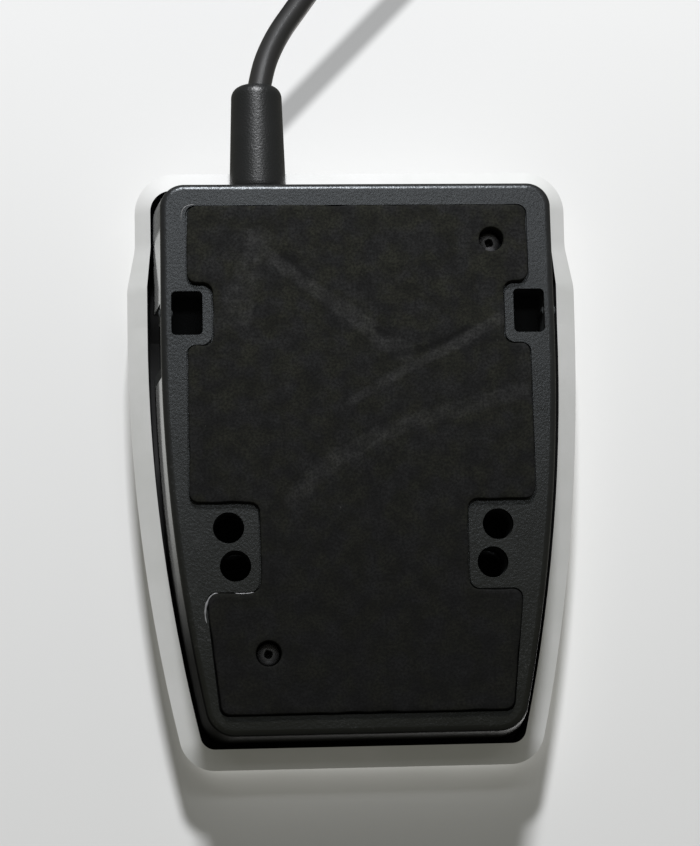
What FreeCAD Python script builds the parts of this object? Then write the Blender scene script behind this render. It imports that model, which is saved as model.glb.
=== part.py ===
import FreeCAD, Part
import math
import os

import Sketcher

# Foot pedal switch: a rocking pedal over a flat base with a micro switch, and a cable with its plug.
# Frame: +Z up, floor at z = 0, +Y to the cable end, origin under the middle of the pedal. Millimetres.

os.makedirs("parts", exist_ok=True)
doc = FreeCAD.newDocument("foot_pedal_switch")
Vec = FreeCAD.Vector

# Driving dimensions: alias, value, meaning
SIZES = [
    ("pedal_length", 102.4, "pedal, front edge to rear edge"),
    ("pedal_width", 77.8, "pedal across its shoulders"),
    ("shoulder_step", 1.4, "how far each shoulder stands out from the rear part"),
    ("pedal_rear_width", "=pedal_width - 2 * shoulder_step", "pedal behind the shoulders"),
    ("shoulder_length", 7.0, "length of the slope from the rear width to the full width"),
    ("shoulder_ahead", 7.0, "from the hinge line back to the shoulders' front end"),
    ("pedal_side_radius", 300.0, "bow of the pedal's sides ahead of the hinge line"),
    ("pedal_rear_corner", 7.0, "plan radius of the pedal's rear corners"),
    ("pedal_front_corner", 6.0, "plan radius of the pedal's front corners"),
    ("shoulder_round", 9.0, "plan radius that softens each shoulder"),
    ("hinge_place", 24.0, "hinge line, ahead of it the sides taper"),
    ("apex_height", 31.0, "top of the pedal over the hinge line"),
    ("front_height", 24.0, "top of the pedal at its front edge"),
    ("rear_height", 26.0, "top of the pedal at its rear edge"),
    ("pedal_roof", 2.4, "thickness of the pedal's top"),
    ("rim_apex", 13.6, "height of the pedal's lower rim at the hinge line"),
    ("rim_front", 10.5, "height of the lower rim at the front"),
    ("rim_rear", 12.0, "height of the lower rim at the rear"),
    ("flank_width", 2.9, "how far the sloped lower flank runs in"),
    ("flank_rise", 4.2, "how far the sloped lower flank rises"),
    ("rim_land", 0.6, "flat width of the lower rim"),
    ("rear_side_wall", 2.75, "pedal's side wall behind the shoulders"),
    ("hollow_rear_width", "=pedal_rear_width - 2 * rear_side_wall", "pedal's hollow behind the shoulders"),
    ("ridge_round", 6.0, "radius where the pedal's two slopes meet"),
    ("edge_round", 3.0, "radius of the pedal's upper edge"),
    ("tread_depth", 0.6, "depth of the tread field in the pedal's top"),
    ("tread_width", 50.0, "width of the tread field"),
    ("tread_length", 52.0, "length of the tread field"),
    ("tread_inset", 7.5, "from the pedal's front edge to the tread field"),
    ("tread_corner", 4.0, "corner radius of the tread field"),
    ("tread_rib_width", 2.0, "width of one tread rib"),
    ("tread_rib_rise", 0.9, "rib height above the field's floor"),
    ("tread_rib_gap", 2.6, "how far a rib's ends stay from the field's edge"),
    ("press_travel", 4.4, "how far the pedal's front edge moves when pressed home"),
    ("tray_lift", 1.0, "base's bottom face above the floor, so the pad stands proud"),
    ("tray_top", 13.0, "height of the tray's upper edge"),
    ("case_setback", 4.6, "from the pedal's side back to the tray's upper edge"),
    ("case_draft", 1.6, "from the tray's upper edge back to its bottom edge"),
    ("tray_width_top", "=pedal_width - 2 * case_setback", "tray width at its upper edge"),
    ("tray_width_low", "=tray_width_top - 2 * case_draft", "tray width at its bottom face"),
    ("tray_rear_low", 45.7, "rear face at the bottom"),
    ("tray_rear_top", 46.6, "rear face at the upper edge"),
    ("tray_front_low", 45.7, "front face at the bottom, ahead of the origin"),
    ("tray_front_top", 46.9, "front face at the upper edge, ahead of the origin"),
    ("tray_side_radius", 290.0, "bow of the tray's sides"),
    ("tray_bend", 20.0, "where the tray's sides start to taper"),
    ("tray_rear_corner", 4.0, "plan radius of the tray's rear corners"),
    ("tray_front_corner", 5.0, "plan radius of the tray's front corners"),
    ("tray_edge_round", 1.1, "radius of the tray's lower edge"),
    ("tray_wall", 2.2, "tray wall at the bottom"),
    ("tray_floor", 3.4, "height of the tray's inner floor"),
    ("pad_margin", 4.3, "from the tray's bottom edge to the pad's side"),
    ("pad_width", "=tray_width_low - 2 * pad_margin", "non-slip pad, full width"),
    ("pad_rear", 41.7, "pad's rear edge"),
    ("pad_front", 42.3, "pad's front edge, ahead of the origin"),
    ("pad_thickness", 1.8, "non-slip pad"),
    ("pad_gap", 0.25, "gap between the pad and its recess"),
    ("pad_corner", 1.6, "radius of the pad's corners"),
    ("notch_depth", 4.2, "how far a pocket platform cuts into the pad"),
    ("notch_in", "=pad_width / 2 - notch_depth", "half width of the pad between the pocket platforms"),
    ("notch_rear", 28.5, "rear edge of a pocket platform"),
    ("notch_front", 18.1, "front edge of a pocket platform"),
    ("waist_in", 17.0, "half width of the pad between the socket platforms"),
    ("waist_rear", 8.0, "rear edge of a socket platform, ahead of the origin"),
    ("waist_front", 22.8, "front edge of a socket platform, ahead of the origin"),
    ("toe_step_rear", 2.6, "how far the pad's front part is set in at its rear end"),
    ("toe_step_front", 4.8, "how far the pad's front part is set in at its front end"),
    ("toe_width_rear", "=pad_width - 2 * toe_step_rear", "pad's front part at its rear end"),
    ("toe_width_front", "=pad_width - 2 * toe_step_front", "pad's front part at its front end"),
    ("pocket_in", 4.2, "from the tray's bottom edge to a pocket's middle"),
    ("pocket_x", "=tray_width_low / 2 - pocket_in", "middle of a rectangular pocket"),
    ("pocket_y", 23.7, "middle of a rectangular pocket"),
    ("pocket_width", 5.2, "pocket across"),
    ("pocket_length", 7.4, "pocket along"),
    ("pocket_corner", 0.8, "corner radius of a pocket"),
    ("pocket_end", 8.0, "height of a pocket's blind end"),
    ("pocket_wall", 1.5, "wall around and above a pocket"),
    ("socket_radius", 2.55, "round link socket"),
    ("socket_rear_x", 22.1, "rear socket"),
    ("socket_rear_y", 12.05, "rear socket, ahead of the origin"),
    ("socket_front_x", 21.05, "front socket"),
    ("socket_front_y", 18.3, "front socket, ahead of the origin"),
    ("socket_end", 9.0, "height of a socket's open end"),
    ("socket_wall", 1.5, "wall around a socket"),
    ("screw_in", 6.0, "from the pad's side to the rear case screw"),
    ("screw_rear_x", "=pad_width / 2 - screw_in", "rear case screw, to the -X side"),
    ("screw_rear_y", 35.7, "rear case screw"),
    ("screw_front_x", 15.9, "front case screw"),
    ("screw_front_y", 32.6, "front case screw, ahead of the origin"),
    ("screw_hole", 2.05, "radius of the pad's hole over a case screw"),
    ("screw_head_radius", 1.9, "case screw head"),
    ("screw_head_height", 1.5, "case screw head"),
    ("screw_seat", 4.7, "height of the face that a screw head bears on"),
    ("screw_radius", 1.1, "case screw shank"),
    ("screw_length", 9.6, "case screw shank"),
    ("screw_boss", 3.7, "radius of a tray screw boss"),
    ("screw_boss_top", 8.0, "height where tray boss and deck post meet"),
    ("side_window_rear", 25.7, "rear end of the recess in the side wall"),
    ("side_window_front", 14.8, "front end of the recess in the side wall"),
    ("side_window_low", 2.7, "lower end of the recess in the side wall"),
    ("side_window_depth", 0.7, "floor of a side recess, in from the tray's bottom edge"),
    ("side_window_floor", "=tray_width_low / 2 - side_window_depth", "half width between the side recesses"),
    ("latch_radius", 1.15, "rounded latch nose in each side recess"),
    ("deck_thickness", 2.0, "deck plate"),
    ("deck_setback", 0.9, "deck edge inside the tray's upper edge"),
    ("deck_post", 3.2, "radius of the deck's screw posts"),
    ("bearing_x", 20.0, "middle of a bearing post"),
    ("bearing_thickness", 4.0, "bearing post"),
    ("bearing_round", 3.6, "outer radius round the axle"),
    ("hinge_height", 19.5, "axle height"),
    ("axle_radius", 1.5, "hinge axle"),
    ("axle_length", 57.6, "hinge axle"),
    ("axle_clearance", 0.05, "running clearance round the axle"),
    ("lug_x", 24.8, "middle of a pedal lug"),
    ("lug_thickness", 3.4, "pedal lug"),
    ("lug_round", 3.4, "outer radius of a pedal lug round the axle"),
    ("clip_radius", 3.1, "axle clip"),
    ("clip_thickness", 0.8, "axle clip"),
    ("spring_x", 9.0, "middle of a return spring"),
    ("spring_y", 26.0, "middle of a return spring, ahead of the origin"),
    ("spring_radius", 3.35, "mean radius of a return spring"),
    ("spring_wire", 0.45, "wire radius"),
    ("spring_turns", 6.0, "turns of a return spring, its two closed ends included"),
    ("spring_seat", 8.0, "height of the cup floor that a spring stands on"),
    ("spring_top", 23.1, "height of the pedal's seat over a spring"),
    ("cup_inside", 4.2, "inner radius of a spring cup"),
    ("cup_wall", 1.0, "wall of a spring cup"),
    ("spigot_radius", 2.3, "pedal spigot inside a spring"),
    ("spigot_length", 4.0, "pedal spigot inside a spring"),
    ("stop_x", 16.0, "middle of a front bumper"),
    ("stop_y", 41.0, "middle of a front bumper, ahead of the origin"),
    ("bumper_radius", 2.6, "rubber bumper"),
    ("bumper_gap", 0.12, "gap left under the pedal at a stop"),
    ("rear_stop_x", 20.0, "middle of a rear bumper"),
    ("rear_stop_y", 41.5, "middle of a rear bumper"),
    ("rear_post_top", 21.6, "top of the post under a rear bumper"),
    ("board_clear", 2.0, "from the front sockets' walls to the circuit board"),
    ("board_width", "=2 * (socket_front_x - socket_radius - socket_wall - board_clear)", "circuit board"),
    ("board_rear", 30.0, "circuit board's rear edge"),
    ("board_front", 19.5, "circuit board's front edge, ahead of the origin"),
    ("board_seat", 5.0, "underside of the circuit board"),
    ("board_thickness", 1.6, "circuit board"),
    ("board_hole_in", 2.5, "from the board's edges to its screws"),
    ("board_screw_radius", 0.9, "board screw shank"),
    ("standoff_radius", 2.2, "tray standoff under the board"),
    ("board_screw_head", 1.8, "radius of a board screw's head"),
    ("board_screw_high", 1.1, "height of a board screw's head"),
    ("clamp_screw_length", 5.0, "clamp screw shank"),
    ("chip_width", 4.0, "controller chip, its case"),
    ("chip_length", 10.0, "controller chip, its case"),
    ("chip_height", 1.5, "controller chip, its case"),
    ("chip_y", 6.0, "middle of the controller chip"),
    ("pin_pitch", 1.27, "from one chip pin to the next"),
    ("pin_width", 0.42, "chip pin"),
    ("pin_span", 6.2, "across the chip pins of both sides"),
    ("pin_height", 0.25, "chip pin"),
    ("crystal_x", 8.0, "middle of the crystal can"),
    ("crystal_y", 3.0, "middle of the crystal can"),
    ("crystal_width", 3.2, "crystal can, across its round ends"),
    ("crystal_length", 7.6, "crystal can, between its round ends"),
    ("crystal_height", 3.4, "crystal can"),
    ("capacitor_x", -8.5, "middle of the buffer capacitor"),
    ("capacitor_y", 12.0, "middle of the buffer capacitor"),
    ("capacitor_radius", 2.5, "buffer capacitor"),
    ("capacitor_height", 5.0, "buffer capacitor"),
    ("resistor_x", -9.0, "middle of the chip resistors"),
    ("resistor_pitch", 2.4, "from one chip resistor to the next"),
    ("resistor_length", 2.0, "chip resistor"),
    ("resistor_width", 1.25, "chip resistor"),
    ("resistor_height", 0.55, "chip resistor"),
    ("header_x", 4.0, "middle of the cable header"),
    ("header_in", 3.6, "from the board's rear edge to the header's middle"),
    ("header_width", 10.4, "cable header"),
    ("header_depth", 5.0, "cable header, along the board"),
    ("header_height", 5.4, "cable header"),
    ("header_wall", 0.9, "cable header"),
    ("wire_radius", 0.5, "one insulated lead wire"),
    ("wire_pitch", 2.3, "from one lead wire to the next in the header"),
    ("wire_spacing", 1.1, "from one lead wire to the next where they cross"),
    ("wire_apart", 0.62, "from the cable's middle to each wire in it"),
    ("stub_length", 5.0, "jacket inside the case"),
    ("switch_length", 12.8, "micro switch housing, along Y"),
    ("switch_width", 5.8, "micro switch housing"),
    ("switch_height", 6.5, "micro switch housing"),
    ("switch_y", 12.0, "middle of the micro switch, ahead of the origin"),
    ("lever_in", 0.9, "from the housing's rear end to the lever's pivot"),
    ("lever_rise", 0.75, "lever pivot above the housing"),
    ("lever_length", 14.0, "switch lever"),
    ("lever_width", 2.8, "switch lever"),
    ("lever_sheet", 0.35, "thickness of the lever"),
    ("lever_slope", 13.5, "degrees the free lever stands up"),
    ("contact_y", 17.0, "where the pedal meets the lever, ahead of the origin"),
    ("contact_gap", 0.12, "free play between pedal and lever"),
    ("nose_radius", 2.0, "rounded nose of the pedal's actuator"),
    ("nose_width", 5.0, "width of the actuator"),
    ("plunger_length", 2.6, "switch plunger, across the switch"),
    ("plunger_width", 1.2, "switch plunger, along the switch"),
    ("plunger_y", 10.5, "middle of the plunger, ahead of the origin"),
    ("plunger_top", 14.5, "top of the free plunger"),
    ("window_margin", 1.4, "deck window clearance round the switch and lever"),
    ("cable_x", 16.33, "cable exit"),
    ("cable_height", 6.6, "cable exit"),
    ("cable_radius", 2.0, "cable jacket"),
    ("sleeve_base", 4.9, "strain relief radius at the wall"),
    ("sleeve_tip", 4.5, "strain relief radius at its end"),
    ("sleeve_end", 65.15, "where the strain relief ends"),
    ("sleeve_round", 0.9, "radius of the strain relief's end edge"),
    ("sleeve_neck", 3.4, "strain relief neck in the wall's hole"),
    ("sleeve_flange", 4.1, "strain relief flange inside the wall"),
    ("flange_thickness", 1.6, "strain relief flange"),
    ("coil_layers", 4, "layers of the put-away coil"),
    ("coil_turns_each", 2.75, "turns in one layer"),
    ("coil_middle", 24.0, "mean radius of the coil's turns"),
    ("coil_pitch", 4.6, "from one turn or layer to the next"),
    ("coil_lift", 2.75, "height of the lowest turns' middle"),
    ("tie_thickness", 0.6, "cable tie strap"),
    ("tie_width", 4.0, "cable tie strap"),
    ("tail_bend", 18.0, "bend radius of the tail over the coil"),
    ("plug_width", 15.6, "plug overmould"),
    ("plug_thickness", 8.0, "plug overmould"),
    ("plug_length", 21.0, "plug overmould with its tapered neck"),
    ("plug_neck", 6.0, "tapered part of the overmould"),
    ("plug_neck_radius", 3.0, "overmould neck where the cable enters"),
    ("shell_width", 12.0, "plug's metal shell"),
    ("shell_thickness", 4.5, "plug's metal shell"),
    ("shell_length", 12.0, "exposed metal shell"),
    ("shell_sheet", 0.32, "sheet of the metal shell"),
    ("tongue_thickness", 1.85, "insulator inside the shell"),
]

sheet = doc.addObject("Spreadsheet::Sheet", "sizes")
for row, (alias, number, meaning) in enumerate(SIZES, 1):
    sheet.set(f"A{row}", alias)
    sheet.set(f"B{row}", str(number))
    sheet.setAlias(f"B{row}", alias)
    sheet.set(f"C{row}", meaning)
doc.recompute()


class Size:
    """A number together with the expression that gives it from the sheet."""

    def __init__(self, value, text):
        self.value = value
        self.text = text

    def __add__(self, other):
        other = as_size(other)
        return Size(self.value + other.value, f"({self.text} + {other.text})")

    def __sub__(self, other):
        other = as_size(other)
        return Size(self.value - other.value, f"({self.text} - {other.text})")

    def __mul__(self, other):
        other = as_size(other)
        return Size(self.value * other.value, f"({self.text} * {other.text})")

    def __truediv__(self, other):
        other = as_size(other)
        return Size(self.value / other.value, f"({self.text} / {other.text})")

    def __radd__(self, other):
        return as_size(other) + self

    def __rsub__(self, other):
        return as_size(other) - self

    def __rmul__(self, other):
        return as_size(other) * self

    def __neg__(self):
        return Size(-self.value, f"(0 - {self.text})")

    def __float__(self):
        return self.value

    def root(self):
        return Size(math.sqrt(self.value), f"sqrt({self.text})")


def as_size(number):
    return number if isinstance(number, Size) else Size(float(number), repr(float(number)))


class Sheet:
    """Gives each alias of the sheet as a Size."""

    def __getattr__(self, alias):
        return Size(float(sheet.get(alias)), f"sizes.{alias}")


d = Sheet()


# Helpers: objects bound to the sheet

def bind(made, **links):
    """Set each property to a size and bind it to the sheet."""
    for name, size in links.items():
        size = as_size(size)
        setattr(made, name, size.value)
        made.setExpression(name, size.text)
    return made


def place(made, x=0, y=0, z=0):
    """Bind an object's place to the sheet."""
    for letter, size in (("x", x), ("y", y), ("z", z)):
        size = as_size(size)
        made.setExpression(f"Placement.Base.{letter}", size.text)
    made.Placement.Base = Vec(float(x), float(y), float(z))
    return made


def box(name, x, y, z, across, along, high):
    """A box whose middle is at x, y and whose lower face is at z."""
    made = doc.addObject("Part::Box", name)
    bind(made, Length=across, Width=along, Height=high)
    return place(made, as_size(x) - as_size(across) / 2, as_size(y) - as_size(along) / 2, z)


def rod(name, x, y, z, radius, high):
    """An upright cylinder standing at x, y, z."""
    made = doc.addObject("Part::Cylinder", name)
    bind(made, Radius=radius, Height=high)
    return place(made, x, y, z)


def rod_along(name, axis, x, y, z, radius, length):
    """A cylinder lying along +X or +Y from x, y, z."""
    made = rod(name, x, y, z, radius, length)
    turn = (Vec(0, 1, 0), 90) if axis == "X" else (Vec(1, 0, 0), -90)
    made.Placement.Rotation = FreeCAD.Rotation(*turn)
    return made


def fuse(name, shapes):
    made = doc.addObject("Part::MultiFuse", name)
    made.Shapes = shapes
    made.Refine = True
    return made


def cut(name, base, tool):
    made = doc.addObject("Part::Cut", name)
    made.Base = base
    made.Tool = tool
    return made


def group(name, shapes):
    """Several separate solids kept in one node."""
    made = doc.addObject("Part::Compound", name)
    made.Links = shapes
    return made


def body(name):
    made = doc.addObject("PartDesign::Body", name)
    made.Label = name
    return made


def sketch(owner, name, role, offset=0):
    """A sketch on one of the body's origin planes, moved along the plane's normal."""
    made = owner.newObject("Sketcher::SketchObject", name)
    flat = next(f for f in owner.Origin.OriginFeatures if f.Role == role)
    made.AttachmentSupport = [(flat, "")]
    made.MapMode = "FlatFace"
    offset = as_size(offset)
    made.AttachmentOffset = FreeCAD.Placement(Vec(0, 0, offset.value), FreeCAD.Rotation())
    made.setExpression("AttachmentOffset.Base.z", offset.text)
    return made


def hold(drawn, kind, *where, size=None):
    """Add one constraint and bind its value to the sheet."""
    if size is None:
        return drawn.addConstraint(Sketcher.Constraint(kind, *where))
    index = drawn.addConstraint(Sketcher.Constraint(kind, *where, size.value))
    name = f"size_{index}"
    drawn.renameConstraint(index, name)
    drawn.setExpression(f".Constraints.{name}", size.text)
    return index


def pin_point(drawn, item, end, x, y):
    """Hold one point of a sketch at x, y."""
    for kind, size, axis in (("DistanceX", as_size(x), -2), ("DistanceY", as_size(y), -1)):
        if abs(size.value) < 1e-9:
            hold(drawn, "PointOnObject", item, end, axis)
        else:
            hold(drawn, kind, -1, 1, item, end, size=size)


def outline(drawn, corners, bows=None):
    """A closed outline through its corners, taken anticlockwise; bows gives an edge's outward radius."""
    bows = bows or {}
    first = drawn.GeometryCount
    count = len(corners)
    flat = [Vec(float(x), float(y), 0) for x, y in corners]
    for i in range(count):
        start, end = flat[i], flat[(i + 1) % count]
        if i not in bows:
            drawn.addGeometry(Part.LineSegment(start, end), False)
            continue
        radius = float(bows[i])
        chord = end - start
        reach = math.sqrt(radius**2 - (chord.Length / 2) ** 2)
        inward = Vec(-chord.y, chord.x, 0).normalize()
        middle = (start + end) / 2 + inward * reach
        low = math.atan2(start.y - middle.y, start.x - middle.x)
        high = math.atan2(end.y - middle.y, end.x - middle.x)
        if high < low:
            high += 2 * math.pi
        ring = Part.Circle(middle, Vec(0, 0, 1), radius)
        drawn.addGeometry(Part.ArcOfCircle(ring, low, high), False)
    for i in range(count):
        hold(drawn, "Coincident", first + i, 2, first + (i + 1) % count, 1)
    for i, (x, y) in enumerate(corners):
        pin_point(drawn, first + i, 1, x, y)
    for i, radius in bows.items():
        hold(drawn, "Radius", first + i, size=as_size(radius))


def circle(drawn, x, y, radius):
    index = drawn.addGeometry(Part.Circle(Vec(float(x), float(y), 0), Vec(0, 0, 1), float(radius)), False)
    pin_point(drawn, index, 3, x, y)
    hold(drawn, "Radius", index, size=as_size(radius))


def rectangle(drawn, x, y, across, along):
    """An upright rectangle about x, y."""
    x, y, half, deep = as_size(x), as_size(y), as_size(across) / 2, as_size(along) / 2
    outline(drawn, [(x - half, y - deep), (x + half, y - deep), (x + half, y + deep), (x - half, y + deep)])


def pad(owner, drawn, length, name, both_ways=False, back=False):
    made = owner.newObject("PartDesign::Pad", name)
    made.Profile = drawn
    bind(made, Length=length)
    if both_ways:
        made.SideType = "Symmetric"
    made.Reversed = back
    return made


def pocket(owner, drawn, length, name, both_ways=False, back=False):
    made = owner.newObject("PartDesign::Pocket", name)
    made.Profile = drawn
    if length is None:
        made.Type = "ThroughAll"
    else:
        bind(made, Length=length)
    if both_ways:
        made.SideType = "Symmetric"
    made.Reversed = back
    return made


def edges_of(feature, test):
    """Names of the feature's edges that pass a test on their two ends and their middle."""
    names = []
    for number, edge in enumerate(feature.Shape.Edges, 1):
        ends = [v.Point for v in edge.Vertexes]
        middle = edge.valueAt((edge.FirstParameter + edge.LastParameter) / 2)
        if len(ends) == 2 and test(ends[0], ends[1], middle):
            names.append(f"Edge{number}")
    return names


def fillet(owner, base, test, radius, name):
    doc.recompute()
    made = owner.newObject("PartDesign::Fillet", name)
    made.Base = (base, edges_of(base, test))
    bind(made, Radius=radius)
    return made


def chamfer(owner, base, test, along, up, name, flip=False):
    """A chamfer of two distances, along the face under the edge and up the face beside it."""
    doc.recompute()
    made = owner.newObject("PartDesign::Chamfer", name)
    made.Base = (base, edges_of(base, test))
    made.ChamferType = "Two distances"
    bind(made, Size=along, Size2=up)
    made.FlipDirection = flip
    return made


def tapered_plan(half, rear, front, bend, radius):
    """Corners of an outline with a straight rear part and bowed sides that taper to the front."""
    drop = radius - (radius * radius - (bend + front) * (bend + front)).root()
    toe = half - drop
    corners = [(half, bend), (half, rear), (-half, rear), (-half, bend), (-toe, -front), (toe, -front)]
    return corners, {3: radius, 5: radius}


def line_at(y, y_start, z_start, y_end, z_end):
    """Height at y on the straight line between two places."""
    y, y_start, z_start = as_size(y), as_size(y_start), as_size(z_start)
    return z_start + (y - y_start) * (as_size(z_end) - z_start) / (as_size(y_end) - y_start)


half_length = d.pedal_length / 2
hinge_to_front = d.hinge_place + half_length


def roof(y, lower=0.0):
    """Height of the pedal's front slope at y, or of a surface that lies lower by a given amount."""
    return line_at(y, d.hinge_place, d.apex_height, -half_length, d.front_height) - lower


def rear_roof(y, lower=0.0):
    return line_at(y, d.hinge_place, d.apex_height, half_length, d.rear_height) - lower


def travel_at(y):
    """How far the pedal at y moves down when pressed home; y is negative ahead of the origin."""
    return d.press_travel * (d.hinge_place - as_size(y)) / hinge_to_front


def is_upright(a, b, middle):
    return math.hypot(a.x - b.x, a.y - b.y) < 0.01


# Pedal: outer form, from a plan outline cut by the slopes above and below

def pedal_plan(inset, rear_half):
    """The pedal's plan outline, inset for its hollow, with its own half width behind the shoulders."""
    inset = as_size(inset)
    half = d.pedal_width / 2 - inset
    radius = d.pedal_side_radius - inset
    long_half = half_length - inset
    reach = d.hinge_place + long_half
    toe = half - (radius - (radius * radius - reach * reach).root())
    front_of_shoulder = d.hinge_place + d.shoulder_ahead
    rear_of_shoulder = front_of_shoulder + d.shoulder_length
    right = [(toe, -long_half), (half, d.hinge_place), (half, front_of_shoulder),
             (rear_half, rear_of_shoulder), (rear_half, long_half)]
    left = [(-x, y) for x, y in reversed(right)]
    return right + left, {0: radius, 8: radius}


def sloped_block(name, inset, rear_half, under, over):
    """A block with the pedal's plan, its two upper slopes lowered by under, its lower side cut if over."""
    owner = body(name)
    plan = sketch(owner, f"{name}_plan", "XY_Plane")
    corners, bows = pedal_plan(inset, rear_half)
    outline(plan, corners, bows)
    block = pad(owner, plan, d.apex_height + 1, f"{name}_block")
    far = half_length + 10
    above = sketch(owner, f"{name}_above", "YZ_Plane")
    high = d.apex_height + 20
    outline(above, [
        (d.hinge_place, d.apex_height - under), (far, rear_roof(far, under)), (far, high),
        (-far, high), (-far, roof(-far, under)),
    ])
    top = pocket(owner, above, None, f"{name}_slopes", both_ways=True)
    if not over:
        return owner, top
    below = sketch(owner, f"{name}_below", "YZ_Plane")
    outline(below, [
        (d.hinge_place, d.rim_apex), (-far, line_at(-far, d.hinge_place, d.rim_apex, -half_length, d.rim_front)),
        (-far, -10), (far, -10), (far, line_at(far, d.hinge_place, d.rim_apex, half_length, d.rim_rear)),
    ])
    return owner, pocket(owner, below, None, f"{name}_under", both_ways=True)


def ridge(a, b, middle):
    at_hinge = abs(a.y - b.y) < 0.01 and abs(a.y - d.hinge_place.value) < 0.01
    return at_hinge and abs(a.z - b.z) < 0.01 and abs(a.x - b.x) > 10


def corner_test(reach_y, sign):
    return lambda a, b, middle: is_upright(a, b, middle) and sign * middle.y > reach_y - 0.6


def shoulder_test(inset):
    low = d.hinge_place.value + d.shoulder_ahead.value - 0.1
    high = low + d.shoulder_length.value + 0.2
    return lambda a, b, middle: is_upright(a, b, middle) and low < middle.y < high


def pedal_outer():
    owner, last = sloped_block("pedal_outer", 0, d.pedal_rear_width / 2, 0, True)
    reach = half_length.value
    last = fillet(owner, last, ridge, d.ridge_round, "outer_ridge")
    last = fillet(owner, last, corner_test(reach, 1), d.pedal_rear_corner, "outer_rear_corners")
    last = fillet(owner, last, corner_test(reach, -1), d.pedal_front_corner, "outer_front_corners")
    last = fillet(owner, last, shoulder_test(0), d.shoulder_round, "outer_shoulders")
    low_side = (d.rim_apex.value + d.apex_height.value) / 2
    def lower_edge(a, b, middle):
        return middle.z < low_side and not is_upright(a, b, middle) and not is_cross(a, b)
    def upper_edge(a, b, middle):
        return middle.z > low_side and not is_upright(a, b, middle) and not is_cross(a, b)
    def is_cross(a, b):
        return abs(a.y - b.y) < 0.01 and abs(a.x + b.x) < 0.01 and abs(a.y) < half_length.value - 1
    last = fillet(owner, last, upper_edge, d.edge_round, "outer_edge")
    last = chamfer(owner, last, lower_edge, d.flank_width, d.flank_rise, "outer_flank")
    return owner


def pedal_core():
    inset = d.flank_width + d.rim_land
    owner, last = sloped_block("pedal_core", inset, d.hollow_rear_width / 2, d.pedal_roof, False)
    reach = half_length.value - inset.value
    last = fillet(owner, last, corner_test(reach, 1), d.pedal_rear_corner - inset, "core_rear_corners")
    last = fillet(owner, last, corner_test(reach, -1), d.pedal_front_corner - inset, "core_front_corners")
    return owner


def tread_cut():
    """The shallow field in the front slope that the ribs stand in."""
    owner = body("tread_cut")
    side = sketch(owner, "tread_cut_side", "YZ_Plane")
    front = -(half_length - d.tread_inset)
    rear = front + d.tread_length
    outline(side, [(front, roof(front, d.tread_depth)), (rear, roof(rear, d.tread_depth)),
                   (rear, roof(rear) + 3), (front, roof(front) + 3)])
    last = pad(owner, side, d.tread_width, "tread_cut_block", both_ways=True)
    fillet(owner, last, lambda a, b, m: is_upright(a, b, m), d.tread_corner, "tread_cut_corners")
    return owner


def tread_ribs():
    """Cross ribs that stand a little above the pedal's top, evenly spaced along the field."""
    owner = body("tread_ribs")
    side = sketch(owner, "tread_ribs_side", "YZ_Plane")
    front = -(half_length - d.tread_inset)
    pitch = 2 * d.tread_rib_width + 1
    count = int(d.tread_length.value / pitch.value)
    start = front + (d.tread_length - pitch * (count - 1)) / 2
    for i in range(count):
        low = start + pitch * i - d.tread_rib_width / 2
        high = low + d.tread_rib_width
        chip = d.tread_rib_width / 5
        sunk = d.tread_depth + 0.3
        top = d.tread_depth - d.tread_rib_rise
        outline(side, [
            (low, roof(low, sunk)), (high, roof(high, sunk)), (high, roof(high, top) - chip),
            (high - chip, roof(high - chip, top)), (low + chip, roof(low + chip, top)),
            (low, roof(low, top) - chip),
        ])
    pad(owner, side, d.tread_width - 2 * d.tread_rib_gap, "tread_ribs_pad", both_ways=True)
    return owner


def hinge_plate(name, x, thickness, round_radius, top, low, hole, hole_round=True):
    """A plate square to the axle: round about the axle, straight on to the part that carries it."""
    owner = body(name)
    side = sketch(owner, f"{name}_side", "YZ_Plane", as_size(x) - as_size(thickness) / 2)
    centre_y, centre_z = d.hinge_place, d.hinge_height
    if float(top) > d.hinge_height.value + float(round_radius):
        corners = [(centre_y - round_radius, centre_z), (centre_y + round_radius, centre_z),
                   (centre_y + round_radius, top), (centre_y - round_radius, top)]
        outline(side, corners, {0: round_radius * 1.0001})
    else:
        corners = [(centre_y + round_radius, centre_z), (centre_y - round_radius, centre_z),
                   (centre_y - round_radius, low), (centre_y + round_radius, low)]
        outline(side, corners, {0: round_radius * 1.0001})
    circle(side, centre_y, centre_z, hole)
    pad(owner, side, thickness, f"{name}_pad")
    return owner


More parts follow.
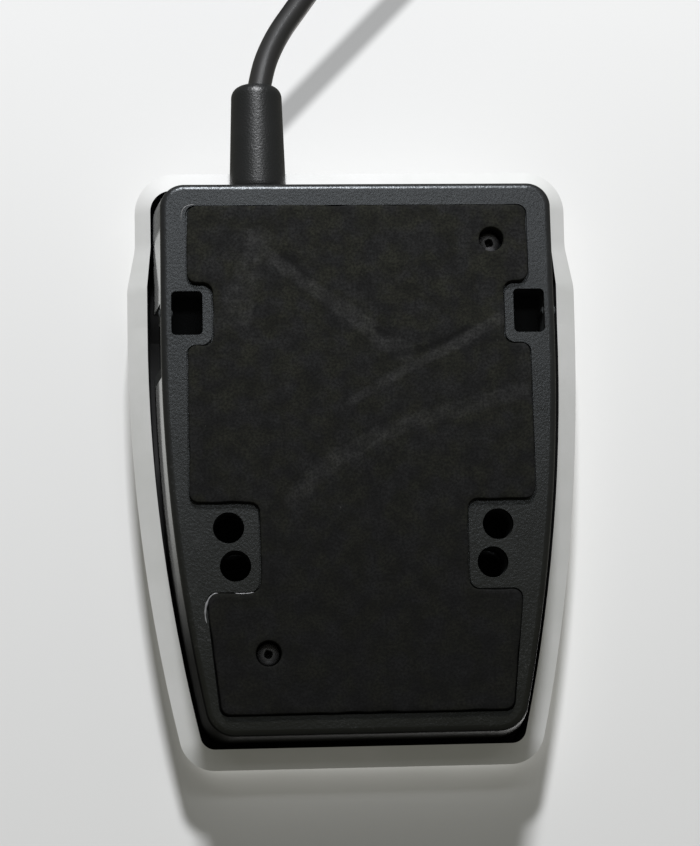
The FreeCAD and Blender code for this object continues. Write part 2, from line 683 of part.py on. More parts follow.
def build_pedal():
    outer, core = pedal_outer(), pedal_core()
    hollow = cut("pedal_hollow", outer, core)
    field = cut("pedal_field", hollow, tread_cut())
    hole = d.axle_radius + d.axle_clearance
    inner_apex = d.apex_height - d.pedal_roof
    pieces = [field, tread_ribs()]
    for side, sign in (("left", 1), ("right", -1)):
        pieces.append(hinge_plate(f"pedal_lug_{side}", sign * d.lug_x, d.lug_thickness, d.lug_round,
                                  inner_apex + 0.2, None, hole))
        spot = -d.spring_y
        pieces.append(rod(f"spring_pad_{side}", sign * d.spring_x, spot, d.spring_top,
                          d.cup_inside, roof(spot, d.pedal_roof - 0.8) - d.spring_top))
        pieces.append(rod(f"spring_spigot_{side}", sign * d.spring_x, spot, d.spring_top - d.spigot_length,
                          d.spigot_radius, d.spigot_length + 0.5))
    nose_low = lever_top_at(d.contact_y) + d.contact_gap
    nose_middle = nose_low + d.nose_radius
    pieces.append(box("actuator_rib", 0, -d.contact_y, nose_middle, d.nose_width, 2 * d.nose_radius,
                      roof(-d.contact_y, d.pedal_roof - 0.8) - nose_middle))
    pieces.append(rod_along("actuator_nose", "X", -d.nose_width / 2, -d.contact_y, nose_middle,
                            d.nose_radius, d.nose_width))
    for side, sign in (("left", 1), ("right", -1)):
        front, rear = -(half_length - 9), d.hinge_place - 8
        pieces.append(long_rib(f"pedal_rib_{side}", sign * d.lug_x, front, rear))
    return fuse("pedal_shell", pieces)


def long_rib(name, x, front, rear):
    """A stiffening rib under the front slope, as deep at every point."""
    owner = body(name)
    thickness = d.pedal_roof / 2
    side = sketch(owner, f"{name}_side", "YZ_Plane", x - thickness / 2)
    depth = d.pedal_roof + 1.6
    outline(side, [(front, roof(front, depth)), (rear, roof(rear, depth)),
                   (rear, roof(rear, d.pedal_roof - 0.5)), (front, roof(front, d.pedal_roof - 0.5))])
    pad(owner, side, thickness, f"{name}_pad")
    return owner


# Switch: housing, plunger and lever

def board_top():
    return d.board_seat + d.board_thickness


def switch_top():
    return board_top() + d.switch_height


def pivot_place():
    return -(d.switch_y - d.switch_length / 2) - d.lever_in, switch_top() + d.lever_rise


LEVER_TANGENT = math.tan(math.radians(d.lever_slope.value))
LEVER_COSINE = math.cos(math.radians(d.lever_slope.value))


def lever_top_at(ahead):
    """Height of the free lever's upper face, a given distance ahead of the origin."""
    pivot_y, pivot_z = pivot_place()
    return pivot_z + (pivot_y + ahead) * LEVER_TANGENT + d.lever_sheet / LEVER_COSINE


def build_switch():
    pivot_y, pivot_z = pivot_place()
    slot = box("plunger_slot", 0, -d.plunger_y, switch_top() - 3.1, d.plunger_length + 0.1,
               d.plunger_width + 0.1, 4)
    case = box("switch_case", 0, -d.switch_y, board_top(), d.switch_width, d.switch_length, d.switch_height)
    ears = []
    for side, sign in (("left", 1), ("right", -1)):
        ears.append(box(f"switch_ear_{side}", sign * (d.lever_width / 2 + 0.55), pivot_y, switch_top() - 0.2,
                        0.8, 1.5, d.lever_rise + 1.0))
    pin = rod_along("lever_pin", "X", -d.switch_width / 2 + 0.7, pivot_y, pivot_z, 0.3, d.switch_width - 1.4)
    solid = fuse("switch_block", [case, pin] + ears)
    cut("switch_housing", solid, slot)
    rod_bottom = switch_top() - 1.9
    box("switch_plunger", 0, -d.plunger_y, rod_bottom, d.plunger_length, d.plunger_width,
        d.plunger_top - rod_bottom)
    strip = doc.addObject("Part::Box", "lever_strip")
    bind(strip, Length=d.lever_width, Width=d.lever_length, Height=d.lever_sheet)
    turn = FreeCAD.Rotation(Vec(1, 0, 0), -d.lever_slope.value)
    start = Vec(-d.lever_width.value / 2, pivot_y.value, pivot_z.value)
    strip.Placement = FreeCAD.Placement(start + turn.multVec(Vec(0, -d.lever_length.value, 0)), turn)
    curl = rod_along("lever_curl", "X", -d.lever_width / 2, pivot_y, pivot_z, 0.62, d.lever_width)
    bore = rod_along("lever_bore", "X", -d.lever_width / 2 - 1, pivot_y, pivot_z, 0.34, d.lever_width + 2)
    cut("switch_lever", fuse("lever_blank", [strip, curl]), bore)
    legs = []
    for i in (-1, 0, 1):
        legs.append(box(f"terminal_{i + 1}", 0, -d.switch_y + i * d.switch_length * 0.4,
                        d.board_seat - 1.2, 0.9, 0.5, d.board_thickness + 1.2))
    group("switch_terminals", legs)


# Tray: drafted walls, bosses, pockets, sockets and the recess for the pad

def tray_plan(level, inset=0):
    """Outline of the tray at its bottom face or its upper edge, or inset from it."""
    low = level == "low"
    half = (d.tray_width_low if low else d.tray_width_top) / 2 - inset
    rear = (d.tray_rear_low if low else d.tray_rear_top) - inset
    front = (d.tray_front_low if low else d.tray_front_top) - inset
    return tapered_plan(half, rear, front, d.tray_bend, d.tray_side_radius - inset)


def pad_outline(drawn, gap=0):
    """The pad's outline, grown by the gap for its recess in the tray."""
    gap = as_size(gap)
    half, rear, front = d.pad_width / 2 + gap, d.pad_rear + gap, -d.pad_front - gap
    right = [
        (d.toe_width_front / 2 + gap, front), (d.toe_width_rear / 2 + gap, -d.waist_front + gap),
        (d.waist_in + gap, -d.waist_front + gap), (d.waist_in + gap, -d.waist_rear - gap),
        (half, -d.waist_rear - gap), (half, d.notch_front + gap), (d.notch_in + gap, d.notch_front + gap),
        (d.notch_in + gap, d.notch_rear - gap), (half, d.notch_rear - gap), (half, rear),
    ]
    outline(drawn, right + [(-x, y) for x, y in reversed(right)])


def each_socket():
    for sign in (1, -1):
        yield sign * d.socket_rear_x, -d.socket_rear_y
        yield sign * d.socket_front_x, -d.socket_front_y


def each_screw():
    yield -d.screw_rear_x, d.screw_rear_y
    yield d.screw_front_x, -d.screw_front_y


def each_board_screw():
    half = d.board_width / 2 - d.board_hole_in
    for x in (half, -half):
        yield x, d.board_rear - d.board_hole_in
        yield x, -(d.board_front - d.board_hole_in)


def clamp_seat():
    """Height where the clamp's bar rests, just over the cable."""
    return d.cable_height + d.cable_radius + 0.1


def each_clamp_screw():
    for sign in (1, -1):
        yield d.cable_x + sign * (d.cable_radius + 3.8), d.tray_rear_low - 6.4


def build_tray():
    low = place(doc.addObject("Sketcher::SketchObject", "tray_low"), z=d.tray_lift)
    outline(low, *tray_plan("low"))
    top = place(doc.addObject("Sketcher::SketchObject", "tray_high"), z=d.tray_top)
    outline(top, *tray_plan("top"))
    drafted = doc.addObject("Part::Loft", "tray_block")
    drafted.Sections = [low, top]
    drafted.Solid = True
    drafted.Ruled = True
    doc.recompute()
    owner = body("tray_body")
    owner.BaseFeature = drafted
    doc.recompute()
    block = owner.Tip

    def wall_corner(sign):
        def test(a, b, middle):
            rises = abs(a.z - b.z) > 5
            return rises and sign * middle.y > d.tray_rear_low.value - 1
        return test

    last = fillet(owner, block, wall_corner(1), d.tray_rear_corner, "tray_rear_corners")
    last = fillet(owner, last, wall_corner(-1), d.tray_front_corner, "tray_front_corners")

    def bottom_edge(a, b, middle):
        return max(a.z, b.z, middle.z) < d.tray_lift.value + 0.01

    last = fillet(owner, last, bottom_edge, d.tray_edge_round, "tray_lower_edge")

    hollow = sketch(owner, "tray_hollow", "XY_Plane", d.tray_top)
    outline(hollow, *tray_plan("low", d.tray_wall))
    pocket(owner, hollow, d.tray_top - d.tray_floor, "tray_cavity")

    floor = d.tray_floor - 0.2

    def bosses(name, draw, top_height):
        raised = sketch(owner, name, "XY_Plane", floor)
        draw(raised)
        return pad(owner, raised, top_height - floor, f"{name}_pad")

    def draw_towers(sign):
        def draw(raised):
            inner = d.pocket_x - d.pocket_width / 2 - d.pocket_wall
            outer = d.tray_width_low / 2 - d.tray_wall / 2
            deep = d.pocket_length / 2 + d.pocket_wall
            x_low, x_high = (inner, outer) if sign > 0 else (-outer, -inner)
            outline(raised, [(x_low, d.pocket_y - deep), (x_high, d.pocket_y - deep),
                             (x_high, d.pocket_y + deep), (x_low, d.pocket_y + deep)])
        return draw

    bosses("tower_left", draw_towers(1), d.pocket_end + d.pocket_wall)
    bosses("tower_right", draw_towers(-1), d.pocket_end + d.pocket_wall)

    def spots(places, radius):
        def draw(raised):
            for x, y in places:
                circle(raised, x, y, radius)
        return draw

    sockets = list(each_socket())
    for number, spot in enumerate(sockets):
        bosses(f"socket_boss_{number}", spots([spot], d.socket_radius + d.socket_wall), d.socket_end)
    bosses("screw_bosses", spots(each_screw(), d.screw_boss), d.screw_boss_top)
    bosses("standoffs", spots(each_board_screw(), d.standoff_radius), d.board_seat)
    bosses("clamp_bosses", spots(each_clamp_screw(), 2.3), clamp_seat())

    def from_below(name, draw, depth):
        under = sketch(owner, name, "XY_Plane", d.tray_lift)
        draw(under)
        return pocket(owner, under, depth, f"{name}_cut", back=True)

    recess = from_below("pad_recess", lambda under: pad_outline(under, d.pad_gap),
                        d.pad_thickness - d.tray_lift)

    def recess_corner(a, b, middle):
        return is_upright(a, b, middle) and max(a.z, b.z) < d.pad_thickness.value + 0.01

    fillet(owner, recess, recess_corner, d.pad_corner, "recess_corners")

    def pocket_shape(under):
        rectangle(under, d.pocket_x, d.pocket_y, d.pocket_width, d.pocket_length)
        rectangle(under, -d.pocket_x, d.pocket_y, d.pocket_width, d.pocket_length)

    last = from_below("pockets", pocket_shape, d.pocket_end - d.tray_lift)

    def pocket_corner(a, b, middle):
        reach = d.pocket_end.value - d.tray_lift.value
        tall = is_upright(a, b, middle) and abs(abs(a.z - b.z) - reach) < 0.1
        return tall and abs(abs(middle.x) - d.pocket_x.value) < d.pocket_width.value

    fillet(owner, last, pocket_corner, d.pocket_corner, "pocket_corners")
    from_below("sockets", spots(sockets, d.socket_radius), d.tray_top - d.tray_lift)
    from_below("screw_seats", spots(each_screw(), d.screw_hole + 0.1), d.screw_seat - d.tray_lift)
    from_below("screw_ways", spots(each_screw(), d.screw_radius + 0.1), d.tray_top - d.tray_lift)

    def from_above(name, draw, depth):
        over = sketch(owner, name, "XY_Plane", d.tray_top)
        draw(over)
        return pocket(owner, over, depth, f"{name}_cut")

    from_above("standoff_holes", spots(each_board_screw(), d.board_screw_radius),
               d.tray_top - d.tray_floor + 0.6)
    from_above("clamp_holes", spots(each_clamp_screw(), 0.9), d.tray_top - d.tray_floor)

    exit_hole = sketch(owner, "exit_hole", "XZ_Plane", -(d.tray_rear_top + 2))
    circle(exit_hole, d.cable_x, d.cable_height, d.sleeve_neck)
    pocket(owner, exit_hole, d.tray_wall + 5, "exit_hole_cut", back=True)
    seat_start = d.tray_rear_low - d.tray_wall
    flange = sketch(owner, "flange_seat", "XZ_Plane", -seat_start)
    circle(flange, d.cable_x, d.cable_height, d.sleeve_flange + 0.1)
    pocket(owner, flange, d.flange_thickness + 0.1, "flange_seat_cut", back=True)

    for side, sign in (("left", 1), ("right", -1)):
        window = sketch(owner, f"window_{side}", "YZ_Plane", sign * d.side_window_floor)
        rear, front = d.side_window_rear, d.side_window_front
        outline(window, [(front, d.side_window_low), (rear, d.side_window_low), (rear, d.tray_top + 1),
                         (front, d.tray_top + 1)])
        pocket(owner, window, d.tray_width_top / 2, f"window_{side}_cut", back=sign > 0)
        nose = sketch(owner, f"latch_{side}", "XY_Plane", d.side_window_low - 0.2)
        nose_y = d.side_window_rear - d.latch_radius - 0.55
        circle(nose, sign * (d.side_window_floor + 0.05), nose_y, d.latch_radius)
        pad(owner, nose, d.tray_top - d.side_window_low - 3, f"latch_{side}_pad")
    doc.recompute()
    owner.Label = "base_tray"
    return owner


# Deck: upper case half with bearing posts, spring cups, stops and the switch window

def build_deck():
    owner = body("deck_body")
    plate_low = d.tray_top
    plate = sketch(owner, "deck_plan", "XY_Plane", plate_low)
    outline(plate, *tray_plan("top", d.deck_setback))
    block = pad(owner, plate, d.deck_thickness, "deck_plate")
    corner = d.tray_rear_corner - d.deck_setback

    def any_corner(a, b, middle):
        return is_upright(a, b, middle) and abs(middle.y) > d.tray_rear_low.value - 2

    fillet(owner, block, any_corner, corner, "deck_corners")
    deck_top = d.tray_top + d.deck_thickness
    posts = sketch(owner, "deck_posts", "XY_Plane", d.screw_boss_top)
    for x, y in each_screw():
        circle(posts, x, y, d.deck_post)
    pad(owner, posts, d.tray_top - d.screw_boss_top + 0.5, "deck_posts_pad")
    cups = sketch(owner, "spring_cups", "XY_Plane", d.spring_seat - d.cup_wall)
    for sign in (1, -1):
        circle(cups, sign * d.spring_x, -d.spring_y, d.cup_inside + d.cup_wall)
    pad(owner, cups, d.tray_top + 0.5 - d.spring_seat + d.cup_wall, "spring_cups_pad")
    stops = sketch(owner, "rear_stops", "XY_Plane", deck_top - 0.5)
    for sign in (1, -1):
        circle(stops, sign * d.rear_stop_x, d.rear_stop_y, d.bumper_radius + 0.3)
    pad(owner, stops, d.rear_post_top - deck_top + 0.5, "rear_stops_pad")
    for side, sign in (("left", 1), ("right", -1)):
        bearing = sketch(owner, f"bearing_{side}", "YZ_Plane", sign * d.bearing_x - d.bearing_thickness / 2)
        y, z, r = d.hinge_place, d.hinge_height, d.bearing_round
        foot = deck_top - 0.5
        outline(bearing, [(y + r, z), (y - r, z), (y - r - 1.5, foot), (y + r + 1.5, foot)], {0: r * 1.0001})
        pad(owner, bearing, d.bearing_thickness, f"bearing_{side}_pad")

    def drill(name, role, offset, draw, depth, **ways):
        holes = sketch(owner, name, role, offset)
        draw(holes)
        return pocket(owner, holes, depth, f"{name}_cut", **ways)

    def window(drawn):
        rear = pivot_place()[0] + 0.8 + d.window_margin
        front = -(d.switch_y + d.switch_length / 2) - d.window_margin - 2.2
        half = d.switch_width / 2 + d.window_margin
        outline(drawn, [(-half, front), (half, front), (half, rear), (-half, rear)])

    def cup_holes(drawn):
        for sign in (1, -1):
            circle(drawn, sign * d.spring_x, -d.spring_y, d.cup_inside)

    def pilots(drawn):
        for x, y in each_screw():
            circle(drawn, x, y, d.screw_radius)

    drill("switch_window", "XY_Plane", deck_top, window, d.deck_thickness + 1)
    drill("cup_holes", "XY_Plane", deck_top, cup_holes, deck_top - d.spring_seat)
    drill("pilots", "XY_Plane", d.screw_boss_top, pilots, d.screw_length - d.screw_boss_top + d.screw_seat + 0.3,
          back=True)
    drill("axle_way", "YZ_Plane", 0,
          lambda drawn: circle(drawn, d.hinge_place, d.hinge_height, d.axle_radius + d.axle_clearance / 2),
          d.pedal_width, both_ways=True)
    doc.recompute()
    owner.Label = "base_deck"
    return owner


# Pad and fasteners

def build_pad():
    owner = body("pad_body")
    flat = sketch(owner, "pad_plan", "XY_Plane")
    pad_outline(flat)
    for x, y in each_screw():
        circle(flat, x, y, d.screw_hole)
    sheet_pad = pad(owner, flat, d.pad_thickness, "pad_sheet")
    fillet(owner, sheet_pad, lambda a, b, m: is_upright(a, b, m), d.pad_corner, "pad_corners")
    owner.Label = "nonslip_pad"
    return owner


def screw(name, x, y, seat, head_radius, head_height, radius, length, down=False):
    """A screw whose head bears at the seat height; its shank points up, or down."""
    head_z = seat if down else seat - head_height
    head = rod(f"{name}_head", x, y, head_z, head_radius, head_height)
    shank = rod(f"{name}_shank", x, y, seat - length if down else seat, radius, length)
    slot_z = seat + head_height - 0.8 if down else seat - head_height - 0.2
    arms = []
    for turn in (0, 1):
        across, along = (head_radius * 1.2, 0.5) if turn else (0.5, head_radius * 1.2)
        arms.append(box(f"{name}_arm_{turn}", x, y, slot_z, across, along, 1.0))
    return cut(name, fuse(f"{name}_blank", [head, shank]), fuse(f"{name}_cross", arms))


def build_fasteners():
    made = [screw(f"case_screw_{i}", x, y, d.screw_seat, d.screw_head_radius, d.screw_head_height,
                  d.screw_radius - 0.02, d.screw_length) for i, (x, y) in enumerate(each_screw())]
    group("case_screws", made)
    made = [screw(f"board_screw_{i}", x, y, board_top(), d.board_screw_head, d.board_screw_high,
                  d.board_screw_radius - 0.02, d.board_thickness + d.board_screw_head, down=True)
            for i, (x, y) in enumerate(each_board_screw())]
    group("board_screws", made)
    bar_low = clamp_seat()
    made = [screw(f"clamp_screw_{i}", x, y, bar_low + 1.5, d.board_screw_head, d.board_screw_high,
                  d.board_screw_radius - 0.02, d.clamp_screw_length, down=True)
            for i, (x, y) in enumerate(each_clamp_screw())]
    group("clamp_screws", made)
    spots = list(each_clamp_screw())
    bar = box("clamp_bar", d.cable_x, spots[0][1], bar_low, spots[0][0] - spots[1][0] + 4.4, 4.4, 1.5)
    holes = [rod(f"clamp_bar_hole_{i}", x, y, bar_low - 1, as_size(0.95), 4) for i, (x, y) in enumerate(spots)]
    cut("cable_clamp", bar, fuse("clamp_bar_holes", holes))


# Hinge axle, clips, bumpers and springs

def build_hinge():
    rod_along("hinge_axle", "X", -d.axle_length / 2, d.hinge_place, d.hinge_height, d.axle_radius,
              d.axle_length)
    clips = []
    for side, sign in (("left", 1), ("right", -1)):
        inner = d.lug_x + d.lug_thickness / 2 + 0.3
        start = inner if sign > 0 else -(inner + d.clip_thickness)
        disc = rod_along(f"clip_disc_{side}", "X", start, d.hinge_place, d.hinge_height, d.clip_radius,
                         d.clip_thickness)
        bore = rod_along(f"clip_bore_{side}", "X", start - 1, d.hinge_place, d.hinge_height,
                         d.axle_radius, d.clip_thickness + 2)
        gap = box(f"clip_gap_{side}", start + d.clip_thickness / 2, d.hinge_place, d.hinge_height,
                  d.clip_thickness + 2, 1.6, d.clip_radius + 1)
        clips.append(cut(f"clip_{side}", disc, fuse(f"clip_cuts_{side}", [bore, gap])))
    group("axle_clips", clips)


def build_bumpers():
    deck_top = d.tray_top + d.deck_thickness
    front_edge = -(d.stop_y + d.bumper_radius)
    top = roof(front_edge, d.pedal_roof) - travel_at(front_edge) - d.bumper_gap
    group("front_bumpers", [
        rod(f"front_bumper_{side}", sign * d.stop_x, -d.stop_y, deck_top, d.bumper_radius, top - deck_top)
        for side, sign in (("left", 1), ("right", -1))])
    rear_edge = d.rear_stop_y + d.bumper_radius
    rear_top = rear_roof(rear_edge, d.pedal_roof) - d.bumper_gap
    group("rear_bumpers", [
        rod(f"rear_bumper_{side}", sign * d.rear_stop_x, d.rear_stop_y, d.rear_post_top, d.bumper_radius,
            rear_top - d.rear_post_top)
        for side, sign in (("left", 1), ("right", -1))])


def biarc(start, start_way, end, end_way):
    """Two arcs from start to end that leave and arrive in the given directions and meet smoothly."""
    across = end - start
    ways = start_way + end_way
    bend = start_way.dot(end_way)
    a, b, c = 2 * (bend - 1), -2 * across.dot(ways), across.dot(across)
    if abs(a) < 1e-9:
        reach = -c / b
    else:
        reach = (-b - math.sqrt(b * b - 4 * a * c)) / (2 * a)
    first, second = start + start_way * reach, end - end_way * reach
    joint = (first + second) / 2
    return [arc_by_apex(start, first, joint), arc_by_apex(joint, second, end)]


def arc_by_apex(start, apex, end):
    """The arc that touches both legs from apex to start and apex to end, which are equally long."""
    middle = (start + end) / 2
    half_chord, height = (end - start).Length / 2, (apex - middle).Length
    leg = (apex - start).Length
    if height < 1e-6 * leg:
        return Part.LineSegment(start, end)
    radius = leg * half_chord / height
    rise = radius * (1 - half_chord / leg)
    return Part.Arc(start, middle + (apex - middle) * (rise / height), end)


def tube(edges, start, way, radius):
    """A round tube along the edges."""
    spine = Part.Wire([edge.toShape() for edge in edges])
    ring = Part.Wire([Part.Circle(start, way, radius).toShape()])
    pipe = Part.BRepOffsetAPI.MakePipeShell(spine)
    pipe.add(ring)
    pipe.build()
    pipe.makeSolid()
    return pipe.shape()


# A winding has one biarc for each half turn
STEPS_PER_TURN = 2


def winding(name, place_at, steps, radius):
    """A tube along a curve given by a function of 0..steps, with a biarc for each half turn."""
    points = [place_at(float(i)) for i in range(steps + 1)]
    ways = [way_at(place_at, i) for i in range(steps + 1)]
    edges = []
    for i in range(steps):
        edges += biarc(points[i], ways[i], points[i + 1], ways[i + 1])
    length = sum(edge.length() for edge in edges)
    print(name, "length", round(length, 1), "least gap", round(least_gap(edges, radius), 2))
    return tube(edges, points[0], ways[0], radius), length


def way_at(place_at, where):
    """Direction of a curve at one place."""
    small = 1e-4
    return (place_at(where + small) - place_at(where - small)).normalize()


def least_gap(edges, radius):
    """Least free gap between parts of a winding at least half a turn apart, on its centre line's points."""
    fine = 24
    points = []
    for edge in edges:
        first, last = edge.FirstParameter, edge.LastParameter
        points += [edge.value(first + (last - first) * i / fine) for i in range(fine)]
    apart = 2 * fine
    gap = min((points[i] - points[j]).Length for i in range(len(points)) for j in range(i + apart, len(points)))
    return gap - 2 * radius


def solid_node(name, shape):
    made = doc.addObject("Part::Feature", name)
    made.Shape = shape
    return made


def build_springs():
    wire, mean = d.spring_wire.value, d.spring_radius.value
    low, high = d.spring_seat.value + wire + 0.03, d.spring_top.value - wire - 0.03
    turns, closed = d.spring_turns.value, 1.0
    flat = 3.1 * wire

    def rise(turn):
        if turn <= closed:
            return low + flat * turn
        if turn >= turns - closed:
            return high - flat * (turns - turn)
        share = (turn - closed) / (turns - 2 * closed)
        return low + flat + share * (high - low - 2 * flat)

    for side, sign in (("left", 1), ("right", -1)):
        def coil_at(step, sign=sign):
            turn = step / STEPS_PER_TURN
            angle = 2 * math.pi * turn
            x = sign * d.spring_x.value + mean * math.cos(angle)
            return Vec(x, -d.spring_y.value + mean * math.sin(angle), rise(turn))

        shape, length = winding(f"spring_{side}", coil_at, int(turns * STEPS_PER_TURN), wire)
        solid_node(f"spring_{side}", shape)


# Circuit board and its components

def build_board():
    long = d.board_rear + d.board_front
    middle = (d.board_rear - d.board_front) / 2
    blank = box("board_blank", 0, middle, d.board_seat, d.board_width, long, d.board_thickness)
    holes = [rod(f"board_hole_{i}", x, y, d.board_seat - 1, d.board_screw_radius + 0.15, d.board_thickness + 2)
             for i, (x, y) in enumerate(each_board_screw())]
    for i in (-1, 0, 1):
        holes.append(box(f"terminal_hole_{i + 1}", 0, -d.switch_y + i * d.switch_length * 0.4,
                         d.board_seat - 1, 1.2, 0.8, d.board_thickness + 2))
    cut("circuit_board", blank, fuse("board_holes", holes))
    top = board_top()
    build_chip(top)
    half = d.crystal_length / 2
    ends = [rod(f"crystal_end_{i}", d.crystal_x, d.crystal_y + way * half, top, d.crystal_width / 2,
                d.crystal_height) for i, way in enumerate((-1, 1))]
    can = box("crystal_body", d.crystal_x, d.crystal_y, top, d.crystal_width, d.crystal_length,
              d.crystal_height)
    small = [fuse("crystal_can", [can] + ends),
             rod("buffer_capacitor", d.capacitor_x, d.capacitor_y, top, d.capacitor_radius,
                 d.capacitor_height)]
    for i in range(4):
        small.append(box(f"chip_resistor_{i}", d.resistor_x, d.resistor_pitch * i + 0.5, top,
                         d.resistor_length, d.resistor_width, d.resistor_height))
    group("board_components", small)
    header_y, wall = d.board_rear - d.header_in, d.header_wall
    shroud = box("header_block", d.header_x, header_y, top, d.header_width, d.header_depth, d.header_height)
    bay = box("header_bay", d.header_x, header_y + wall, top + wall, d.header_width - 2 * wall,
              d.header_depth, d.header_height - 2 * wall)
    cut("cable_header", shroud, bay)


def build_chip(top):
    """The controller's case and its row of pins on each side."""
    pins = 8
    parts = [box("chip_case", 0, d.chip_y, top + 0.15, d.chip_width, d.chip_length, d.chip_height)]
    for i in range(pins):
        along = d.chip_y + d.pin_pitch * (i - (pins - 1) / 2)
        parts.append(box(f"chip_pin_{i}", 0, along, top, d.pin_span, d.pin_width, d.pin_height))
    fuse("controller_chip", parts)


# Cable: strain relief, free run, coil, tie, tail and plug

def build_strain_relief():
    """A turned sleeve: flange, neck in the wall and a tapered body whose foot follows the sloped wall."""
    owner = body("sleeve_body")
    side = sketch(owner, "sleeve_side", "XY_Plane", d.cable_height)
    inner = d.tray_rear_low - d.tray_wall
    foot = d.tray_rear_low - 0.1
    outline(side, [
        (d.cable_x, inner - d.flange_thickness), (d.cable_x + d.sleeve_flange, inner - d.flange_thickness),
        (d.cable_x + d.sleeve_flange, inner), (d.cable_x + d.sleeve_neck, inner),
        (d.cable_x + d.sleeve_neck, foot), (d.cable_x + d.sleeve_base, foot),
        (d.cable_x + d.sleeve_tip, d.sleeve_end), (d.cable_x, d.sleeve_end),
    ])
    turned = owner.newObject("PartDesign::Revolution", "sleeve_turned")
    turned.Profile = side
    turned.ReferenceAxis = (side, ["Edge8"])
    turned.Angle = 360
    doc.recompute()

    def end_edge(a, b, middle):
        return abs(a.y - d.sleeve_end.value) < 0.01 and abs(b.y - d.sleeve_end.value) < 0.01

    ring = [f"Edge{n}" for n, edge in enumerate(turned.Shape.Edges, 1)
            if abs(edge.CenterOfMass.y - d.sleeve_end.value) < 0.01 and edge.Length > 10]
    rounded = owner.newObject("PartDesign::Fillet", "sleeve_round_end")
    rounded.Base = (turned, ring)
    bind(rounded, Radius=d.sleeve_round)
    trim = sketch(owner, "sleeve_foot", "YZ_Plane", d.cable_x)
    slope = (d.tray_rear_top - d.tray_rear_low) / (d.tray_top - d.tray_lift)
    low, high = d.tray_lift - 1, d.tray_top + 1
    at_low = d.tray_rear_low + slope * (low - d.tray_lift)
    at_high = d.tray_rear_low + slope * (high - d.tray_lift)
    outline(trim, [(foot - 1, low), (at_low, low), (at_high, high), (foot - 1, high)])
    pocket(owner, trim, 4 * d.sleeve_base, "sleeve_foot_cut", both_ways=True)
    keep = rod_along("sleeve_neck_rod", "Y", d.cable_x, inner - 0.5, d.cable_height, d.sleeve_neck,
                     foot - inner + 1.5)
    fuse("strain_relief", [owner, keep])


def rounded_path(points):
    """Straight runs joined by tangent arcs, each as large as its two runs allow; prints the radii."""
    edges, radii = [], []
    here = points[0]
    for i in range(1, len(points) - 1):
        back, ahead = points[i - 1] - points[i], points[i + 1] - points[i]
        shorter = min(back.Length, ahead.Length)
        leg = 0.45 * shorter
        turn = math.pi - back.getAngle(ahead)
        enter = points[i] + back.normalize() * leg
        leave = points[i] + ahead.normalize() * leg
        edges.append(Part.LineSegment(here, enter))
        edges.append(arc_by_apex(enter, points[i], leave))
        radii.append(leg / math.tan(turn / 2))
        here = leave
    edges.append(Part.LineSegment(here, points[-1]))
    return edges, radii


def route_tube(name, points, radius):
    edges, radii = rounded_path(points)
    shape = tube(edges, points[0], (points[1] - points[0]).normalize(), radius)
    length = sum(edge.length() for edge in edges)
    whole = math.pi * radius**2 * length
    print(name, "length", round(length, 1), "least radius", round(min(radii), 1),
          "volume share", round(shape.Volume / whole, 4))
    return solid_node(name, shape), length


# Coil: turns spiral in and out again, and climb a layer in the half turn where the spiral reverses
COIL_CENTRE = (15.8, 120.7)
COIL_START = 216.0


def coil_place(turn):
    """A point of the coil's centre line after so many turns, wound clockwise from above."""
    each, pitch = d.coil_turns_each.value, d.coil_pitch.value
    span = each * pitch
    outer = d.coil_middle.value + span / 2
    layer = min(int(turn / each), int(d.coil_layers.value) - 1)
    along = turn - layer * each
    radius = outer - pitch * along if layer % 2 == 0 else outer - span + pitch * along
    height = layer
    for change in range(1, int(d.coil_layers.value)):
        part = (turn - change * each + 0.25) / 0.5
        if 0 <= part <= 1:
            height = change - 1 + part * part * (3 - 2 * part)
    angle = math.radians(COIL_START) - 2 * math.pi * turn
    return Vec(COIL_CENTRE[0] + radius * math.cos(angle), COIL_CENTRE[1] + radius * math.sin(angle),
               d.coil_lift.value + pitch * height)


def build_cord():
    radius = d.cable_radius.value
    total_turns = d.coil_layers.value * d.coil_turns_each.value
    steps = int(total_turns * STEPS_PER_TURN)
    begin, finish = coil_place(0), coil_place(total_turns)
    begin_way, finish_way = way_at(coil_place, 0), way_at(coil_place, total_turns)
    exit_point = Vec(d.cable_x.value - 1.03, d.sleeve_end.value + 0.45, d.cable_height.value)
    free = [exit_point, Vec(14.4, 69.9, 6.5), Vec(12.35, 73.8, 6.1), Vec(9.65, 77.4, 5.6),
            begin - begin_way * 10.0, begin]
    node, run_length = route_tube("cable_run", free, radius)
    shape, coil_length = winding("cable_coil", lambda step: coil_place(step / STEPS_PER_TURN), steps, radius)
    solid_node("cable_coil", shape)
    centre = Vec(COIL_CENTRE[0], COIL_CENTRE[1], finish.z)
    inward = (centre - finish).normalize()
    flat_way = Vec(finish_way.x, finish_way.y, 0).normalize()
    bend = d.tail_bend.value
    top = d.coil_lift.value + d.coil_pitch.value * (d.coil_layers.value - 1)
    plug_z = top + radius + d.plug_thickness.value / 2 + 0.1
    lead = 5.0
    tail = [finish, finish + flat_way * lead]
    for degrees, drop in ((20, 5.2), (50, 2.6), (80, 1.0), (110, 0.0)):
        turn = math.radians(degrees)
        spot = finish + flat_way * (lead + bend * math.sin(turn)) + inward * (bend * (1 - math.cos(turn)))
        tail.append(Vec(spot.x, spot.y, plug_z - drop))
    turn = math.radians(122)
    plug_way = flat_way * math.cos(turn) + inward * math.sin(turn)
    tail.append(tail[-1] + plug_way * 9.0)
    node, tail_length = route_tube("cable_tail", tail, radius)
    print("cord length", round(run_length + coil_length + tail_length, 1))
    build_plug(tail[-1], plug_way)
    build_tie()


